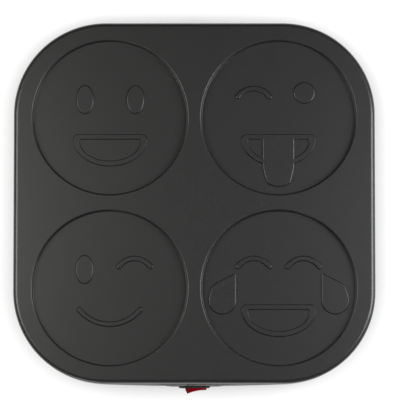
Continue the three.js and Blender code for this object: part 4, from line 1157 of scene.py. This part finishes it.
# a rubber foot with a dished sole and a barbed plug
def makeFoot():
    f = foot
    profile = roundArc(f["sole"] - f["round"], f["round"], f["round"], start=-1, end=0, steps=4)
    profile += [(f["radius"], f["top"]), (f["plug"], f["top"]), (f["plug"], f["plugTop"]),
                (f["grip"], f["plugTop"]), (f["end"], f["endTop"])]
    ob = turned("foot", 0, 0, profile, count=56)
    dish = turned("dish", 0, 0, [
        (f["dishRadius"], -overrun), (f["dishRadius"], 0),
        (f["dishRadius"] * f["dishShare"], f["dishDepth"])], count=56)
    return smoothed(cutAway(ob, dish))


# a pan-head screw seen from below, with a cross in its crown
def makeBaseScrew():
    s = baseScrew
    profile = []
    for i in range(s["steps"] + 1):
        turn = math.pi / 2 * i / s["steps"]
        profile.append((s["crown"] + (s["head"] - s["crown"]) * math.sin(turn),
                        s["low"] + s["rise"] * (1 - math.cos(turn))))
    profile += [(s["head"], s["seat"]), (s["radius"], s["seat"]), (s["radius"], s["bite"]),
                (s["tip"], s["end"])]
    ob = turned("screw", 0, 0, profile, count=40)
    half, long = s["slotWidth"] / 2, s["slotLength"] / 2
    for x, y in ((half, long), (long, half)):
        cutAway(ob, box("cross", (-x, -y, 0), (x, y, s["low"] + s["slotDepth"])))
    return smoothed(ob)


fitted(makeCover(), "baseCover", "root", ["base_cover"], "coverPlastic")
firstFoot, firstScrew = makeFoot(), makeBaseScrew()
for name, (sx, sy) in quarters.items():
    fitted(copied(firstFoot, "foot", sx * foot["place"], middle + sy * foot["place"]),
           "rubberFoot_" + name, "root", ["foot_" + name], "footRubber")
    fitted(copied(firstScrew, "screw", sx * housing["columnX"], middle + sy * housing["columnY"]),
           "baseScrew_" + name, "root", ["base_screw_" + name], "screwSteel")
bpy.data.objects.remove(firstFoot)
bpy.data.objects.remove(firstScrew)


# gland: the bush of the mains lead in the rear wall, its mouth rounded

def makeGland():
    g = gland
    face = middle + wallOutside + gap
    outer = face + g["flangeThickness"]
    flange = rodAlongY("cordGland", g["height"], g["flange"], face, outer, count=72)
    roundRim(flange, 1, outer, g["edge"], segments=4)
    neckEnd = face + g["flangeThickness"] / 2
    weld(flange, rodAlongY("neck", g["height"], g["neck"], middle + g["end"], neckEnd, count=72))
    boreEnd = middle + wallOutside + g["boreEnd"]
    cutAway(flange, rodAlongY("bore", g["height"], g["bore"], middle, boreEnd))
    startEdit(flange)
    mouth = Vector((0, outer, g["height"]))
    pick("edges", lambda e: rimOf(e, 1, outer) and (centreOf(e) - mouth).length < g["bore"] + matchWithin)
    bevelPicked(g["mouthEdge"], segments=4)
    endEdit()
    return smoothed(flange)


fitted(makeGland(), "cordGland", "root", ["cord_gland"], "blackPlastic")


# the pieces inside keep their solids and get their finishes

innerFinishes = {
    "contactBrass": ["earth_tag", "switch_contact_lever", "switch_terminal_"],
    "elementSteel": ["heating_element"],
    "shieldSteel": ["heat_shield"],
    "beadCeramic": ["element_bead_"],
    "screwSteel": ["plate_screw_", "clamp_screw_", "bracket_screw_", "fuse_clip_screw", "shield_screw",
                   "terminal_block_screw"],
    "springSteel": ["switch_spring", "switch_plunger"],
    "bracketSteel": ["element_clamp_", "element_pin_", "thermostat_bracket", "fuse_clip"],
    "capMetal": ["thermostat"],
    "fuseSleeve": ["thermal_fuse"],
    "lampGlass": ["indicator_lamp"],
    "earthSleeve": ["lead_earth"],
    "leadSleeve": ["lead_"],
    "terminalPlastic": ["terminal_block"],
    "blackPlastic": ["gland_nut", "cord_gland", "switch_body"],
    "castNonstick": ["griddle_plate"],
    "housingPlastic": ["housing_shell"],
    "coverPlastic": ["base_cover"],
    "footRubber": ["foot_"],
    "redPlastic": ["switch_rocker"],
}


# the longest name that a node's own name begins with decides
def finishOf(name):
    found = [(len(start), finish) for finish, starts in innerFinishes.items()
             for start in starts if name.startswith(start)]
    return max(found)[1] if found else "screwSteel"


for name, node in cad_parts.items():
    node.data.materials.clear()
    node.data.materials.append(materials[finishOf(name)])
